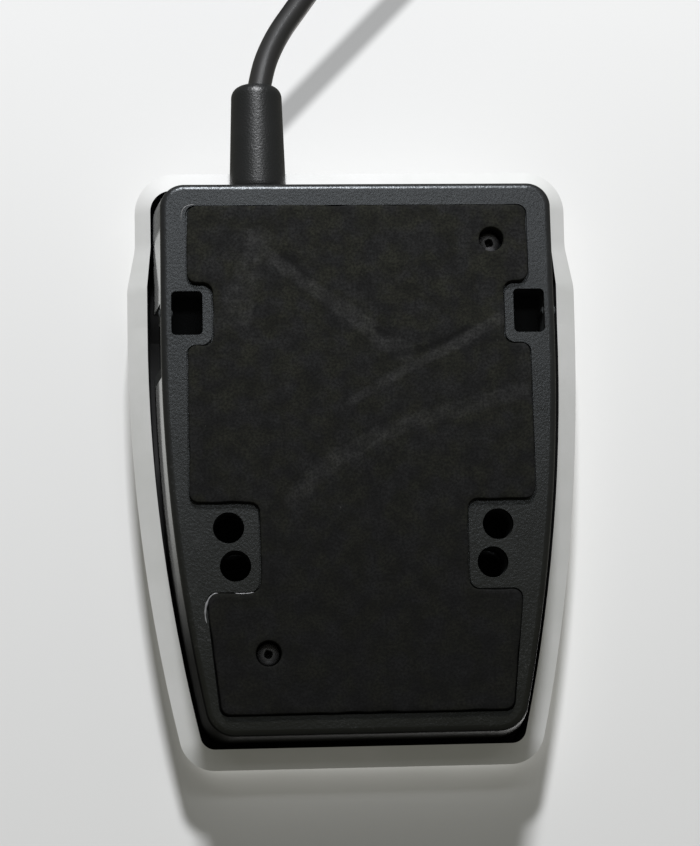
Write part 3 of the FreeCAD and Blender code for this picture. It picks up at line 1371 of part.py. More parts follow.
def build_plug(start, way):
    """The plug in its own frame, length along +X, then turned to lie where the tail ends."""
    long, wide, thick = d.plug_length.value, d.plug_width.value, d.plug_thickness.value
    neck, neck_radius = d.plug_neck.value, d.plug_neck_radius.value
    grip = Part.makeBox(long - neck, wide, thick, Vec(neck, -wide / 2, -thick / 2))
    grip = grip.makeFillet(1.6, [e for e in grip.Edges])
    ring = Part.Wire([Part.Circle(Vec(0, 0, 0), Vec(1, 0, 0), neck_radius).toShape()])
    ellipse = Part.Ellipse(Vec(neck + 2, wide / 2 - 1.8, 0), Vec(neck + 2, 0, thick / 2 - 0.6), Vec(neck + 2, 0, 0))
    cone = Part.makeLoft([ring, Part.Wire([ellipse.toShape()])], True, True)
    mould = grip.fuse(cone).removeSplitter()
    sheet_thickness = d.shell_sheet.value
    width, height, out = d.shell_width.value, d.shell_thickness.value, d.shell_length.value
    skin = Part.makeBox(out, width, height, Vec(long, -width / 2, -height / 2))
    skin = skin.makeFillet(0.5, [e for e in skin.Edges if abs(e.Vertexes[0].X - e.Vertexes[1].X) > 1])
    room = Part.makeBox(out, width - 2 * sheet_thickness, height - 2 * sheet_thickness,
                        Vec(long + 0.6, -width / 2 + sheet_thickness, -height / 2 + sheet_thickness))
    shell = skin.cut(room)
    for side in (1, -1):
        for face in (1, -1):
            window = Part.makeBox(2.4, 2.4, 1.0, Vec(long + 5.0, side * 2.4 - 1.2, face * height / 2 - 0.5))
            shell = shell.cut(window)
    tongue_width = width - 2 * sheet_thickness - 0.3
    tongue_low = -height / 2 + sheet_thickness + 0.05
    tongue = Part.makeBox(out - 1.6, tongue_width, d.tongue_thickness.value,
                          Vec(long + 0.65, -tongue_width / 2, tongue_low))
    strips = []
    for i, place_y in enumerate((-3.5, -1.0, 1.0, 3.5)):
        strips.append(Part.makeBox(8.0, 1.1, 0.2, Vec(long + 1.4, place_y - 0.55, tongue_low + d.tongue_thickness.value)))
    angle = math.degrees(math.atan2(way.y, way.x))
    there = FreeCAD.Placement(start, FreeCAD.Rotation(Vec(0, 0, 1), angle))
    for name, shape in (("plug_overmould", mould), ("plug_shell", shell), ("plug_tongue", tongue),
                        ("plug_contacts", Part.makeCompound(strips))):
        node = solid_node(name, shape)
        node.Placement = there


def build_tie():
    """A strap round all the turns at one place of the coil."""
    each, pitch = d.coil_turns_each.value, d.coil_pitch.value
    span, radius, strap = each * pitch, d.cable_radius.value, d.tie_thickness.value
    inner = d.coil_middle.value - span / 2 - radius - 0.1
    outer = d.coil_middle.value + span / 2 + radius + 0.1
    top = d.coil_lift.value + pitch * (d.coil_layers.value - 1) + radius + 0.1
    low = d.coil_lift.value - radius - 0.1
    width = d.tie_width.value
    outside = Part.makeBox(outer - inner + 2 * strap, width, top - low + 2 * strap,
                           Vec(inner - strap, -width / 2, low - strap))
    outside = outside.makeFillet(1.4, [e for e in outside.Edges if abs(e.Vertexes[0].Y - e.Vertexes[1].Y) > 1])
    inside = Part.makeBox(outer - inner, width + 2, top - low, Vec(inner, -width / 2 - 1, low))
    strap_ring = outside.cut(inside)
    head = Part.makeBox(3.0, width + 1.4, 4.4, Vec(outer + strap - 0.2, -width / 2 - 0.7, top - 7))
    node = solid_node("cable_tie", strap_ring.fuse(head).removeSplitter())
    node.Placement = FreeCAD.Placement(Vec(COIL_CENTRE[0], COIL_CENTRE[1], 0),
                                       FreeCAD.Rotation(Vec(0, 0, 1), 330))


def build_inner_lead():
    flange_face = d.tray_rear_low - d.tray_wall - d.flange_thickness
    stub = d.stub_length
    rod_along("jacket_end", "Y", d.cable_x, flange_face - stub, d.cable_height, d.cable_radius, stub)
    start_y = (flange_face - stub).value
    wires = []
    apart, radius = d.wire_apart.value, d.wire_radius.value
    header_y = (d.board_rear - d.header_in).value
    first = (d.header_x - 1.5 * d.wire_pitch).value
    for i in range(4):
        side_x = -apart if i < 2 else apart
        side_z = -apart if i % 2 else apart
        start = Vec(d.cable_x.value + side_x, start_y, d.cable_height.value + side_z)
        end = Vec(first + d.wire_pitch.value * i, header_y, (board_top() + 1.6).value)
        cross_y = start_y - 3.0 - d.wire_spacing.value * i
        near = Vec(start.x, cross_y, start.z)
        far = Vec(end.x, cross_y, end.z)
        edges, radii = rounded_path([start, near, far, end])
        wires.append(tube(edges, start, (near - start).normalize(), radius))
    solid_node("lead_wires", Part.makeCompound(wires))


build_switch()
build_pedal()
build_tray()
build_deck()
build_pad()
build_fasteners()
build_hinge()
build_bumpers()
build_springs()
build_board()
build_strain_relief()
build_inner_lead()
build_cord()
doc.recompute()

# Nodes: what is written, one file for each
NODES = [
    "base_tray", "base_deck", "nonslip_pad", "case_screws", "hinge_axle", "axle_clips", "spring_left",
    "spring_right", "front_bumpers", "rear_bumpers", "switch_housing", "switch_terminals",
    "circuit_board", "controller_chip", "board_components", "cable_header", "board_screws",
    "jacket_end", "lead_wires", "cable_clamp", "clamp_screws", "pedal_shell", "switch_plunger",
    "switch_lever", "strain_relief", "cable_run", "cable_coil", "cable_tail", "cable_tie",
    "plug_overmould", "plug_shell", "plug_tongue", "plug_contacts",
]

failed = [made.Name for made in doc.Objects if "Invalid" in made.State or "Error" in made.State]
if failed:
    raise RuntimeError(f"these objects failed: {failed}")
for name in NODES:
    made = doc.getObjectsByLabel(name)[0]
    shape = made.Shape
    if shape.isNull() or not shape.isValid() or not shape.Solids:
        raise RuntimeError(f"{name} has no valid solid")
    shape.exportStep(f"parts/{name}.step")
    print(name, "solids", len(shape.Solids), "volume", round(shape.Volume, 1))
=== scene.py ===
# %% [markdown]
# # Foot pedal switch, seen from below
#
# A one-pedal foot switch lies upside down on a white table. A light grey rocking pedal wraps around a
# black base with a foam rubber pad, and a black cable leaves the base through a rubber sleeve.
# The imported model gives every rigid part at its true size. This lesson adds the camera, the light,
# the cable, the soft and the small parts, and a finish for everything.

# %% Load the frame
import math

import bmesh
import bpy
import numpy as np
from mathutils import Matrix, Vector
from mathutils.geometry import delaunay_2d_cdt


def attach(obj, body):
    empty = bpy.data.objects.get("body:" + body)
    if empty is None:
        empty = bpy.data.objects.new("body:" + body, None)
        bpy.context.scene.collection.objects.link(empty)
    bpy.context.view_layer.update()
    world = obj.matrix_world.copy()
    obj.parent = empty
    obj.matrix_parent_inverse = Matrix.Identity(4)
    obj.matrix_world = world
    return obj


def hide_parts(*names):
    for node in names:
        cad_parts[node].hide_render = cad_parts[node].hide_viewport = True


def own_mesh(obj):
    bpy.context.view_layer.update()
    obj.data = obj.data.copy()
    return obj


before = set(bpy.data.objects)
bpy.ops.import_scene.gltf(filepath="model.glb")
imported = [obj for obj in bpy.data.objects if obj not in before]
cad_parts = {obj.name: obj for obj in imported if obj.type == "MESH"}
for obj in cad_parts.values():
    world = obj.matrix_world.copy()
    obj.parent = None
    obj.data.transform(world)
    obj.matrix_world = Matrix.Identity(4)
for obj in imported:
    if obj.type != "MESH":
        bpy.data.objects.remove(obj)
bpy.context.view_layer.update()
print("packed nodes:", len(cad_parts))

MM = 0.001
scene = bpy.context.scene
scene.view_settings.view_transform = "Standard"

# %% [markdown]
# ## Camera
#
# The photograph was taken from close by, a little from the front and from the object's left side, so
# the near faces look larger. A long list of measured points gave the distance, the tilt and the focal
# length. The picture is 846 pixels high, and the sensor is fitted to that height.

# %% Place the camera
PICTURE_HEIGHT = 846
FOCAL_PIXELS = 2070.56
SENSOR = 36.0
TILT, SIDE, ROLL = math.radians(8.835), math.radians(3.889), math.radians(-1.294)
TARGET = Vector((1.975, 4.813, 0.0)) * MM
DISTANCE = 340 * MM


def aim(away, roll):
    """A camera's turn: it looks against the direction away, with +Y up, then rolls."""
    forward = -away
    right = forward.cross(Vector((0, 1, 0))).normalized()
    up = right.cross(forward)
    turned_right = right * math.cos(roll) + up * math.sin(roll)
    turned_up = up * math.cos(roll) - right * math.sin(roll)
    return Matrix((turned_right, turned_up, away)).transposed().to_4x4()


away = Vector((math.sin(SIDE), -math.sin(TILT) * math.cos(SIDE), -math.cos(TILT) * math.cos(SIDE)))
lens = bpy.data.cameras.new("camera")
lens.sensor_fit = "VERTICAL"
lens.sensor_height = SENSOR
lens.lens = FOCAL_PIXELS * SENSOR / PICTURE_HEIGHT
lens.clip_start = 0.01
camera = bpy.data.objects.new("camera", lens)
scene.collection.objects.link(camera)
camera.matrix_world = Matrix.Translation(TARGET + away * DISTANCE) @ aim(away.normalized(), ROLL)
scene.camera = camera
print("lens", round(lens.lens, 2), "mm, camera at", [round(v * 1000, 1) for v in camera.location])

# %% [markdown]
# ## Cable
#
# The real cable is a round rubber lead of about 4 mm that bends up out of the sleeve and away. Its
# unseen length lies in a neat coil of four layers just beyond the picture, and ends in a plug that lies on
# the coil. One smooth spline carries all of it: a few points where it runs free, and 24 for each turn.

# %% Route of the cable
CORD_DIAMETER = 4.0
COIL_CENTRE = np.array([15.8, 120.7])
COIL_START = math.radians(216.0)
COIL_LAYERS, TURNS_EACH = 4, 2.75
COIL_PITCH, COIL_MIDDLE, COIL_LIFT = 4.6, 24.0, 2.75
POINTS_PER_TURN = 24
CLIMB_TURNS = 0.5


def coil_points(turn):
    """Turns spiral inwards and outwards in turn; a smooth step lifts the line one pitch per layer."""
    turn = np.atleast_1d(np.asarray(turn, float))
    span = TURNS_EACH * COIL_PITCH
    layer = np.minimum((turn / TURNS_EACH).astype(int), COIL_LAYERS - 1)
    along = turn - layer * TURNS_EACH
    outer = COIL_MIDDLE + span / 2
    radius = np.where(layer % 2 == 0, outer - COIL_PITCH * along, outer - span + COIL_PITCH * along)
    height = np.zeros_like(turn)
    for change in range(1, COIL_LAYERS):
        part = np.clip((turn - change * TURNS_EACH + CLIMB_TURNS / 2) / CLIMB_TURNS, 0, 1)
        height += part * part * (3 - 2 * part)
    angle = COIL_START - 2 * math.pi * turn
    flat = COIL_CENTRE + radius[:, None] * np.stack([np.cos(angle), np.sin(angle)], 1)
    return np.column_stack([flat, COIL_LIFT + COIL_PITCH * height])


TOTAL_TURNS = COIL_LAYERS * TURNS_EACH
coil = coil_points(np.linspace(0, TOTAL_TURNS, int(TOTAL_TURNS * POINTS_PER_TURN) + 1))
print("coil", TOTAL_TURNS, "turns", len(coil), "points")

# %% Lead the cable in and out
LEAD_IN, LEAD_OUT, BEND = 10.0, 5.0, 18.0
TAIL_TURNS, TAIL_DROPS = np.radians([20, 50, 80, 110])[:, None], np.array([5.2, 2.6, 1.0, 0.0])
PLUG_TURN, PLUG_LEAD, PLUG_THICKNESS, PLUG_GAP = math.radians(122), 9.0, 8.0, 0.1


def unit(vector):
    """The vector over its own length."""
    return vector / np.linalg.norm(vector)


small = 1e-4
begin_way = unit((coil_points(small) - coil_points(-small))[0])
finish_way = unit((coil_points(TOTAL_TURNS + small) - coil_points(TOTAL_TURNS - small))[0])
free = np.array([[15.95, 63.4, 6.6], [15.35, 66.6, 6.6], [14.3, 69.9, 6.5],
                 [12.3, 73.8, 6.1], [9.65, 77.4, 5.6]])
lead_in = (coil[0] - begin_way * LEAD_IN)[None]
flat_way = unit(finish_way * [1, 1, 0])
inward = unit(np.array([*COIL_CENTRE, coil[-1][2]]) - coil[-1])
coil_top = COIL_LIFT + COIL_PITCH * (COIL_LAYERS - 1) + CORD_DIAMETER / 2
plug_height = coil_top + PLUG_THICKNESS / 2 + PLUG_GAP
tail = coil[-1] + flat_way * (LEAD_OUT + BEND * np.sin(TAIL_TURNS)) + inward * BEND * (1 - np.cos(TAIL_TURNS))
tail[:, 2] = plug_height - TAIL_DROPS
lead_out = (coil[-1] + flat_way * LEAD_OUT)[None]
plug_way = flat_way * math.cos(PLUG_TURN) + inward * math.sin(PLUG_TURN)
plug_start = tail[-1] + plug_way * PLUG_LEAD
route = np.vstack([free, lead_in, coil, lead_out, tail, plug_start[None]]) * MM
print("cable points", len(route), "plug starts at", plug_start.round(1))

# %% Lay the cable
def round_cable(name, points, diameter):
    """A tube on one smooth spline with these control points."""
    line = bpy.data.curves.new(name, "CURVE")
    line.dimensions = "3D"
    line.bevel_depth = diameter / 2
    line.bevel_resolution = 5
    line.resolution_u = 5
    line.use_fill_caps = True
    spline = line.splines.new("NURBS")
    spline.points.add(len(points) - 1)
    spline.points.foreach_set("co", np.column_stack([points, np.ones(len(points))]).ravel())
    spline.order_u = 3
    spline.use_endpoint_u = True
    made = bpy.data.objects.new(name, line)
    scene.collection.objects.link(made)
    return made


cable = round_cable("cable", route, CORD_DIAMETER * MM)

# %% [markdown]
# ## Shader sums
#
# Finishes are easier to read when their sums look like sums. `Value` wraps one socket, and each operator
# adds the Math node it stands for. `Finish` is one material; its `node` method adds any other node.

# %% Values that do sums
class Value:
    """A socket in a node tree, whose operators add Math nodes."""

    def __init__(self, finish, socket):
        self.finish = finish
        self.socket = socket

    def sum(self, operation, *others):
        """Adds one Math node; its inputs are this value and the others."""
        return self.finish.node("ShaderNodeMath", {"operation": operation},
                                {i: v for i, v in enumerate((self,) + others)})

    def __add__(self, other):
        return self.sum("ADD", other)

    def __sub__(self, other):
        return self.sum("SUBTRACT", other)

    def __mul__(self, other):
        return self.sum("MULTIPLY", other)

    def __pow__(self, other):
        return self.sum("POWER", other)

    def __rsub__(self, other):
        return self.finish.node("ShaderNodeMath", {"operation": "SUBTRACT"}, {0: other, 1: self})

    __radd__ = __add__
    __rmul__ = __mul__

    def __abs__(self):
        return self.sum("ABSOLUTE")

    def lowest(self, other):
        return self.sum("MINIMUM", other)

    def highest(self, other):
        return self.sum("MAXIMUM", other)

    def ramp(self, low, high):
        """0 below low and 1 above high, with a smooth change between them."""
        return self.finish.node("ShaderNodeMapRange", {"interpolation_type": "SMOOTHSTEP"},
                                {0: self, 1: low, 2: high, 3: 0.0, 4: 1.0})

    def ramp_mm(self, low, high):
        """The same ramp between two places in millimetres."""
        return self.ramp(low * MM, high * MM)


def socket_name(word):
    """A keyword written as the socket's name: coat_ior becomes Coat IOR."""
    return word.replace("_", " ").title().replace("Ior", "IOR")


class Finish:
    """One material with a Principled shader and a method that adds any other node."""

    def __init__(self, name, **constants):
        self.material = bpy.data.materials.new(name)
        self.material.use_nodes = True
        self.tree = self.material.node_tree
        self.shader = self.tree.nodes["Principled BSDF"]
        self.place = self.node("ShaderNodeTexCoord", output="Object")
        for key, value in constants.items():
            self.set(key, value)

    def node(self, kind, settings=None, inputs=None, output=0):
        """Adds a node: its settings first, then its sockets' values or links."""
        made = self.tree.nodes.new(kind)
        for key, value in (settings or {}).items():
            setattr(made, key, value)
        for key, value in (inputs or {}).items():
            self.feed(made.inputs[key], value)
        return Value(self, made.outputs[output])

    def feed(self, socket, value):
        """Links a value to a socket, or sets the socket's own number or colour."""
        if isinstance(value, Value):
            self.tree.links.new(value.socket, socket)
        elif socket.type == "RGBA" and not hasattr(value, "__len__"):
            socket.default_value = (value, value, value, 1.0)
        elif socket.type == "RGBA":
            socket.default_value = (*value[:3], 1.0)
        else:
            socket.default_value = value

    def set(self, name, value):
        self.feed(self.shader.inputs[socket_name(name)], value)

    def noise(self, scale, detail=2.0, roughness=0.5, stretch=None, offset=(0, 0, 0)):
        """Cloudy noise from 0 to 1, scale waves a metre, on the piece's own coordinates."""
        where = self.place
        if stretch is not None or offset != (0, 0, 0):
            where = self.node("ShaderNodeMapping", None,
                              {0: where, 1: offset, 3: stretch or (1, 1, 1)})
        return self.node("ShaderNodeTexNoise", None,
                         {"Vector": where, "Scale": scale, "Detail": detail, "Roughness": roughness})

    def attribute(self, name):
        """A number stored on the points of the mesh."""
        return self.node("ShaderNodeAttribute", {"attribute_name": name}, output="Fac")

    def axis(self, letter):
        """One coordinate of the piece, in metres."""
        return self.node("ShaderNodeSeparateXYZ", None, {0: self.place}, output="XYZ".index(letter))

    def blend(self, share, first, second):
        """A colour between two colours."""
        mixed = self.tree.nodes.new("ShaderNodeMix")
        mixed.data_type = "RGBA"
        self.feed(mixed.inputs[0], share)
        self.feed(mixed.inputs[6], first)
        self.feed(mixed.inputs[7], second)
        return Value(self, mixed.outputs[2])

    def lay_over(self, share, second):
        """Mixes a second shader over the first where share is 1."""
        first = Value(self, self.shader.outputs[0])
        mixed = self.node("ShaderNodeMixShader", None, {0: share, 1: first, 2: second})
        self.feed(self.tree.nodes["Material Output"].inputs["Surface"], mixed)

    def cover(self, share, **constants):
        """Lays a second Principled shader, with these constants, over the first where share is 1."""
        inputs = {socket_name(key): value for key, value in constants.items()}
        self.lay_over(share, self.node("ShaderNodeBsdfPrincipled", None, inputs))

    def bump(self, height, strength, distance, normal=None):
        """Tilts the surface by the slope of height times distance, which is in metres."""
        inputs = {"Strength": strength, "Distance": distance, "Height": height}
        if normal is not None:
            inputs["Normal"] = normal
        return self.node("ShaderNodeBump", None, inputs)


# %% [markdown]
# ## Finishes
#
# The base is injection moulded in near-black plastic with a fine spark-eroded texture, so it looks soft
# and slightly blue where it mirrors the window. The pedal is the same kind of plastic in warm light grey.

# %% Moulded plastics
PEDAL_MIDDLE = Vector((0, 0, 18 * MM))
PEDAL_TONES, PEDAL_SMUDGE = ((0.665, 0.67, 0.655), (0.73, 0.73, 0.725)), (0.36, 0.35, 0.33)
INSIDE_SHADE_BLACK, INSIDE_SHADE_FROM, INSIDE_SHADE_TO = (0.012, 0.012, 0.012), 0.5, -3.0


def toned(colour, share):
    """The colour made darker, or lighter up to white."""
    return tuple(min(c * share, 1.0) for c in colour)


def moulded(name, colour, roughness, grain=2600.0, grain_depth=0.012):
    """Textured moulded plastic: fine grain in the bump, cloudy changes in tone and roughness."""
    finish = Finish(name)
    cloud = finish.noise(90.0, 4.0, 0.6)
    fine = finish.noise(grain, 2.0, 0.6)
    finish.set("Base Color", finish.blend(cloud.ramp(0.3, 0.75), toned(colour, 0.92), toned(colour, 1.08)))
    finish.set("Roughness", cloud * 0.08 + (roughness - 0.04))
    finish.set("Normal", finish.bump(fine, 0.35, grain_depth * MM))
    return finish.material


def pedal_finish():
    """Warm light grey outside. Inside, where the surface faces the pedal's middle, black painted shade."""
    finish = Finish("pedal_grey")
    cloud = finish.noise(70.0, 4.0, 0.6)
    grain = finish.noise(1900.0, 2.0, 0.6)
    smudge = finish.noise(260.0, 4.0, 0.7, offset=(0.2, 0.5, 0.1))
    facing = finish.node("ShaderNodeNewGeometry", output="Normal")
    from_middle = finish.node("ShaderNodeVectorMath", {"operation": "SUBTRACT"},
                              {0: finish.place, 1: PEDAL_MIDDLE})
    outwards = finish.node("ShaderNodeVectorMath", {"operation": "DOT_PRODUCT"}, {0: facing, 1: from_middle},
                           output="Value")
    # Painted shade: inside, where the surface faces the pedal's middle, the grey turns black.
    painted_inside_shade = 1 - outwards.ramp_mm(INSIDE_SHADE_TO, INSIDE_SHADE_FROM)
    grey = finish.blend(cloud.ramp(0.3, 0.75), *PEDAL_TONES)
    grey = finish.blend(smudge.ramp(0.62, 0.8) * 0.14, grey, PEDAL_SMUDGE)
    finish.set("Base Color", finish.blend(painted_inside_shade, grey, INSIDE_SHADE_BLACK))
    finish.set("Roughness", cloud * 0.1 + 0.38 + painted_inside_shade * 0.3)
    finish.set("Normal", finish.bump(grain, 0.4, 0.014 * MM))
    return finish.material


pedal_grey = pedal_finish()
print("pedal grey", len(pedal_grey.node_tree.nodes), "nodes")

# %% [markdown]
# ## Black case
#
# The base's bottom face came out of a spark-eroded mould, so it is grainy, but its drafted side walls were
# polished so that they slip out. Seen at a glancing angle they mirror the pedal's bright rim. The deep
# pockets and sockets and the recess in the side wall get painted shade, a darker, duller black below their
# rims, and the case is painted darker towards the front, as shade. The front wall and the front margin lie
# in the pedal's own shade, so a second, matt black shader covers them.

# %% Places on the case
POCKET_X, POCKET_Y = (26.0, 31.1), (19.9, 27.3)
SOCKETS = ((22.1, -12.05), (21.05, -18.3))
SOCKET_RADIUS = 2.55
SIDE_RECESS_Y, SIDE_RECESS_X = (13.2, 23.8), (30.4, 30.8)
WALL_HEIGHT, DEEP_HEIGHT = (1.6, 2.8), (2.2, 3.4)
POLISH_SIDE, POLISH_ALONG, POLISH_END = (28.0, 29.5), (-27.0, 2.0), (37.2, 38.8)
FRONT_WALL_HEIGHT, FRONT_WALL_ALONG, FRONT_MARGIN = (1.15, 1.5), (-34.0, -18.0), (-47.5, -43.0)
WALL_LEAN_FROM, WALL_LEAN_TO, WALL_LEAN, WALL_CURVE = 3.0, 12.0, 0.035, 0.0052
LEAN_ALONG = (-27.0, -12.0)
CASE_SHADE_RUN, CASE_FRONT_SHADE = (-48.0, 44.0), (0.0045, 0.0044, 0.0026)
CASE_TONES = (0.0134, 0.0137, 0.0144), (0.0176, 0.018, 0.0186)


def between(value, low, high, soft=0.12):
    """1 between two places in millimetres, 0 outside, with a soft edge."""
    return value.ramp_mm(low - soft, low) * (1 - value.ramp_mm(high, high + soft))


def from_spot(across, along, spot):
    """The distance from a spot in millimetres: the root of the two squared differences."""
    return ((across - spot[0] * MM) ** 2 + (along - spot[1] * MM) ** 2) ** 0.5


print("polish ends at", POLISH_END, "mm")

# %% Black case with polished walls
def case_finish():
    """Grain on the bottom, gloss on the walls' rear part, painted shade in the hollows and to the front; the
    walls' shading leans outwards.
    """
    finish = Finish("case_black", coat_roughness=0.07, coat_ior=1.6, specular_tint=(0.9, 0.96, 1.0))
    side, along, height = abs(finish.axis("X")), finish.axis("Y"), finish.axis("Z")
    cloud = finish.noise(90.0, 4.0, 0.6)
    grain = finish.noise(2300.0, 2.5, 0.65)
    fleck = finish.noise(1500.0, 3.0, 0.7, offset=(0.3, 0.1, 0.7))
    wall = height.ramp_mm(*WALL_HEIGHT)
    rear_end = 1 - along.ramp_mm(*POLISH_END)
    polished = wall * along.ramp_mm(*POLISH_ALONG) * side.ramp_mm(*POLISH_SIDE) * rear_end
    deep = height.ramp_mm(*DEEP_HEIGHT)
    hollow = between(side, *POCKET_X, soft=0.3) * between(along, *POCKET_Y, soft=0.3)
    for spot in SOCKETS:
        away = from_spot(side, along, spot)
        hollow = hollow.highest(1 - away.ramp_mm(SOCKET_RADIUS + 0.1, SOCKET_RADIUS + 0.4))
    recess = between(along, *SIDE_RECESS_Y) * wall * side.ramp_mm(*SIDE_RECESS_X)
    dark = (hollow * deep).highest(recess)
    shade = finish.blend(cloud.ramp(0.3, 0.75), *CASE_TONES)
    # Painted shade: the case gets darker and warmer towards the front.
    shade = finish.blend(1 - along.ramp_mm(*CASE_SHADE_RUN), shade, CASE_FRONT_SHADE)
    shade = finish.blend(fleck.ramp(0.56, 0.72) * cloud.ramp(0.4, 0.7) * 0.08, shade, (0.3, 0.3, 0.3))
    # Painted shade: near-black in the pockets and sockets below their rims, and in the side recess.
    finish.set("Base Color", finish.blend(dark, shade, (0.006, 0.006, 0.006)))
    rough = cloud * 0.12 + 0.25 + polished * -0.15
    finish.set("Roughness", rough + dark * (0.9 - rough))
    finish.set("Coat Weight", polished * (1 - dark) * (1 - hollow))
    grained = finish.bump(grain, 1.0 - polished * 0.95, 0.05 * MM)
    up_wall = (height - WALL_LEAN_FROM * MM).highest(0.0).lowest((WALL_LEAN_TO - WALL_LEAN_FROM) * MM)
    bulge = up_wall * WALL_LEAN + up_wall * up_wall * (WALL_CURVE / MM)
    leaning = bulge * rear_end * along.ramp_mm(*LEAN_ALONG)
    finish.set("Normal", finish.bump(leaning, 1.0, 1.0, grained))
    front_wall = height.ramp_mm(*FRONT_WALL_HEIGHT) * (1 - along.ramp_mm(*FRONT_WALL_ALONG))
    front_margin = 1 - along.ramp_mm(*FRONT_MARGIN)
    finish.cover((front_wall * 0.95).highest(front_margin * 0.4),
                 base_color=(0.003, 0.003, 0.003), roughness=0.7, specular_ior_level=0.05)
    return finish.material


case_black = case_finish()
print("case black", len(case_black.node_tree.nodes), "nodes")

# %% [markdown]
# ## Rubber
#
# The cable's jacket, the sleeve and the stops are rubber: matt, with a fine uneven skin. One function
# makes them all, and a thin coat gives the cable the narrow highlight of a smooth jacket.

# %% Rubber
def rubber(name, colour, roughness, grain=1500.0, depth=0.03, wear=0.0, shine=0.5, coat=0.0):
    """Soft rubber: matt, with a fine uneven skin and faint pale wear; a coat gives a narrow highlight."""
    finish = Finish(name, specular_ior_level=shine, coat_weight=coat, coat_roughness=0.16)
    cloud = finish.noise(60.0, 5.0, 0.65)
    skin = finish.noise(grain, 3.0, 0.6)
    pale = tuple(c * 2.2 + 0.01 for c in colour)
    finish.set("Base Color", finish.blend(cloud.ramp(0.5, 0.8) * wear, colour, pale))
    finish.set("Roughness", roughness + cloud * 0.1)
    finish.set("Normal", finish.bump(skin, 0.5, depth * MM))
    return finish.material


cable_black = rubber("cable_black", (0.018, 0.018, 0.019), 0.36, depth=0.004, wear=0.15, shine=0.8, coat=0.3)
sleeve_black = rubber("sleeve_black", (0.012, 0.0128, 0.0135), 0.3, grain=3000.0, depth=0.13, wear=0.2)
pad_foam = rubber("pad_foam", (0.0075, 0.0075, 0.0066), 0.75, grain=2400.0, depth=0.05, wear=0.3, shine=0.14)
bumper_rubber = rubber("bumper_rubber", (0.02, 0.02, 0.02), 0.7)
print("rubbers", cable_black.name, sleeve_black.name, pad_foam.name, bumper_rubber.name)

# %% [markdown]
# ## Metals, and a finish for every solid
#
# A metal is a noise stretched along the way in which it was drawn or brushed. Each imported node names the
# finish that it needs, so one table of finishes dresses them all in one pass.

# %% Metals and small parts
def metal(name, colour, roughness, brush=(1, 1, 1), scale=500.0):
    """Bare or blackened metal, with brush marks along one way."""
    finish = Finish(name, metallic=1.0)
    marks = finish.noise(scale, 3.0, 0.6, stretch=brush)
    finish.set("Base Color", finish.blend(marks, toned(colour, 0.9), colour))
    finish.set("Roughness", marks * 0.16 + (roughness - 0.08))
    finish.set("Normal", finish.bump(marks, 0.15, 0.01 * MM))
    return finish.material


FINISHES = {
    "case_black": case_black,
    "pad_foam": pad_foam,
    "screw_black": metal("screw_black", (0.05, 0.05, 0.052), 0.38, scale=1500.0),
    "steel": metal("steel", (0.6, 0.6, 0.61), 0.3, brush=(0.1, 1, 1)),
    "rubber_black": bumper_rubber,
    "switch_black": moulded("switch_black", (0.02, 0.02, 0.022), 0.35, grain=4000.0, grain_depth=0.004),
    "brass_pins": metal("brass_pins", (0.8, 0.62, 0.32), 0.28),
    "board_green": moulded("board_green", (0.02, 0.14, 0.055), 0.3, grain=900.0, grain_depth=0.006),
    "chip_black": moulded("chip_black", (0.022, 0.022, 0.024), 0.55),
    "components": moulded("components", (0.42, 0.42, 0.44), 0.35, grain=3000.0, grain_depth=0.004),
    "header_white": moulded("header_white", (0.8, 0.78, 0.7), 0.45),
    "jacket_black": cable_black,
    "lead_insulation": moulded("lead_insulation", (0.5, 0.05, 0.045), 0.4, grain_depth=0.003),
    "pedal_grey": pedal_grey,
    "plunger_red": moulded("plunger_red", (0.5, 0.045, 0.035), 0.35, grain_depth=0.003),
    "sleeve_black": sleeve_black,
    "tie_black": moulded("tie_black", (0.02, 0.02, 0.021), 0.4, grain_depth=0.006),
    "plug_metal": metal("plug_metal", (0.74, 0.74, 0.75), 0.22, brush=(1, 0.15, 1)),
    "tongue_white": moulded("tongue_white", (0.84, 0.84, 0.82), 0.4),
}
for name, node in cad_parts.items():
    given = node.material_slots[0].material.name.split(".")[0]
    if given not in FINISHES:
        print("no finish for", name, given)
    for place in node.material_slots:
        place.material = FINISHES.get(given, case_black)
cable.data.materials.append(cable_black)
print("finishes", len(FINISHES))

# %% [markdown]
# ## Non-slip pad
#
# The pad is a sheet of foam rubber, cut by hand round the sockets and pockets, so its edges wave a little
# and are rubbed round where they meet the floor. Use has left pale scuffs on it. Its outline is a list of
# corners with conic arcs between; a few rings carry that outline down the sides, and a triangulated face
# with a gentle relief closes it.

# %% Outline of the pad
PAD_SIDE = np.array([(23.6, -42.3), (25.8, -22.8), (17.0, -22.8), (17.0, -8.0), (28.4, -8.0), (28.4, 18.1),
                     (24.2, 18.1), (24.2, 28.5), (28.4, 28.5), (28.4, 41.7)])
PAD_CORNERS = np.vstack([PAD_SIDE, PAD_SIDE[::-1] * [-1, 1]])
PAD_THICKNESS, PAD_CORNER, PAD_STEP = 1.8, 1.6, 0.4
PAD_HOLES = np.array([(-22.4, 35.7), (15.9, -32.6)])
PAD_HOLE = 2.05
WANDER_WAVES, WANDER_DEPTH, WANDER_SHRINK = 12, 0.10, (0.42, 0.03)
WANDER_IN, WANDER_OUT = -0.18, 0.12
random = np.random.default_rng(7)


def directions(vectors):
    """Each row over its own length."""
    return vectors / np.linalg.norm(vectors, axis=1)[:, None]


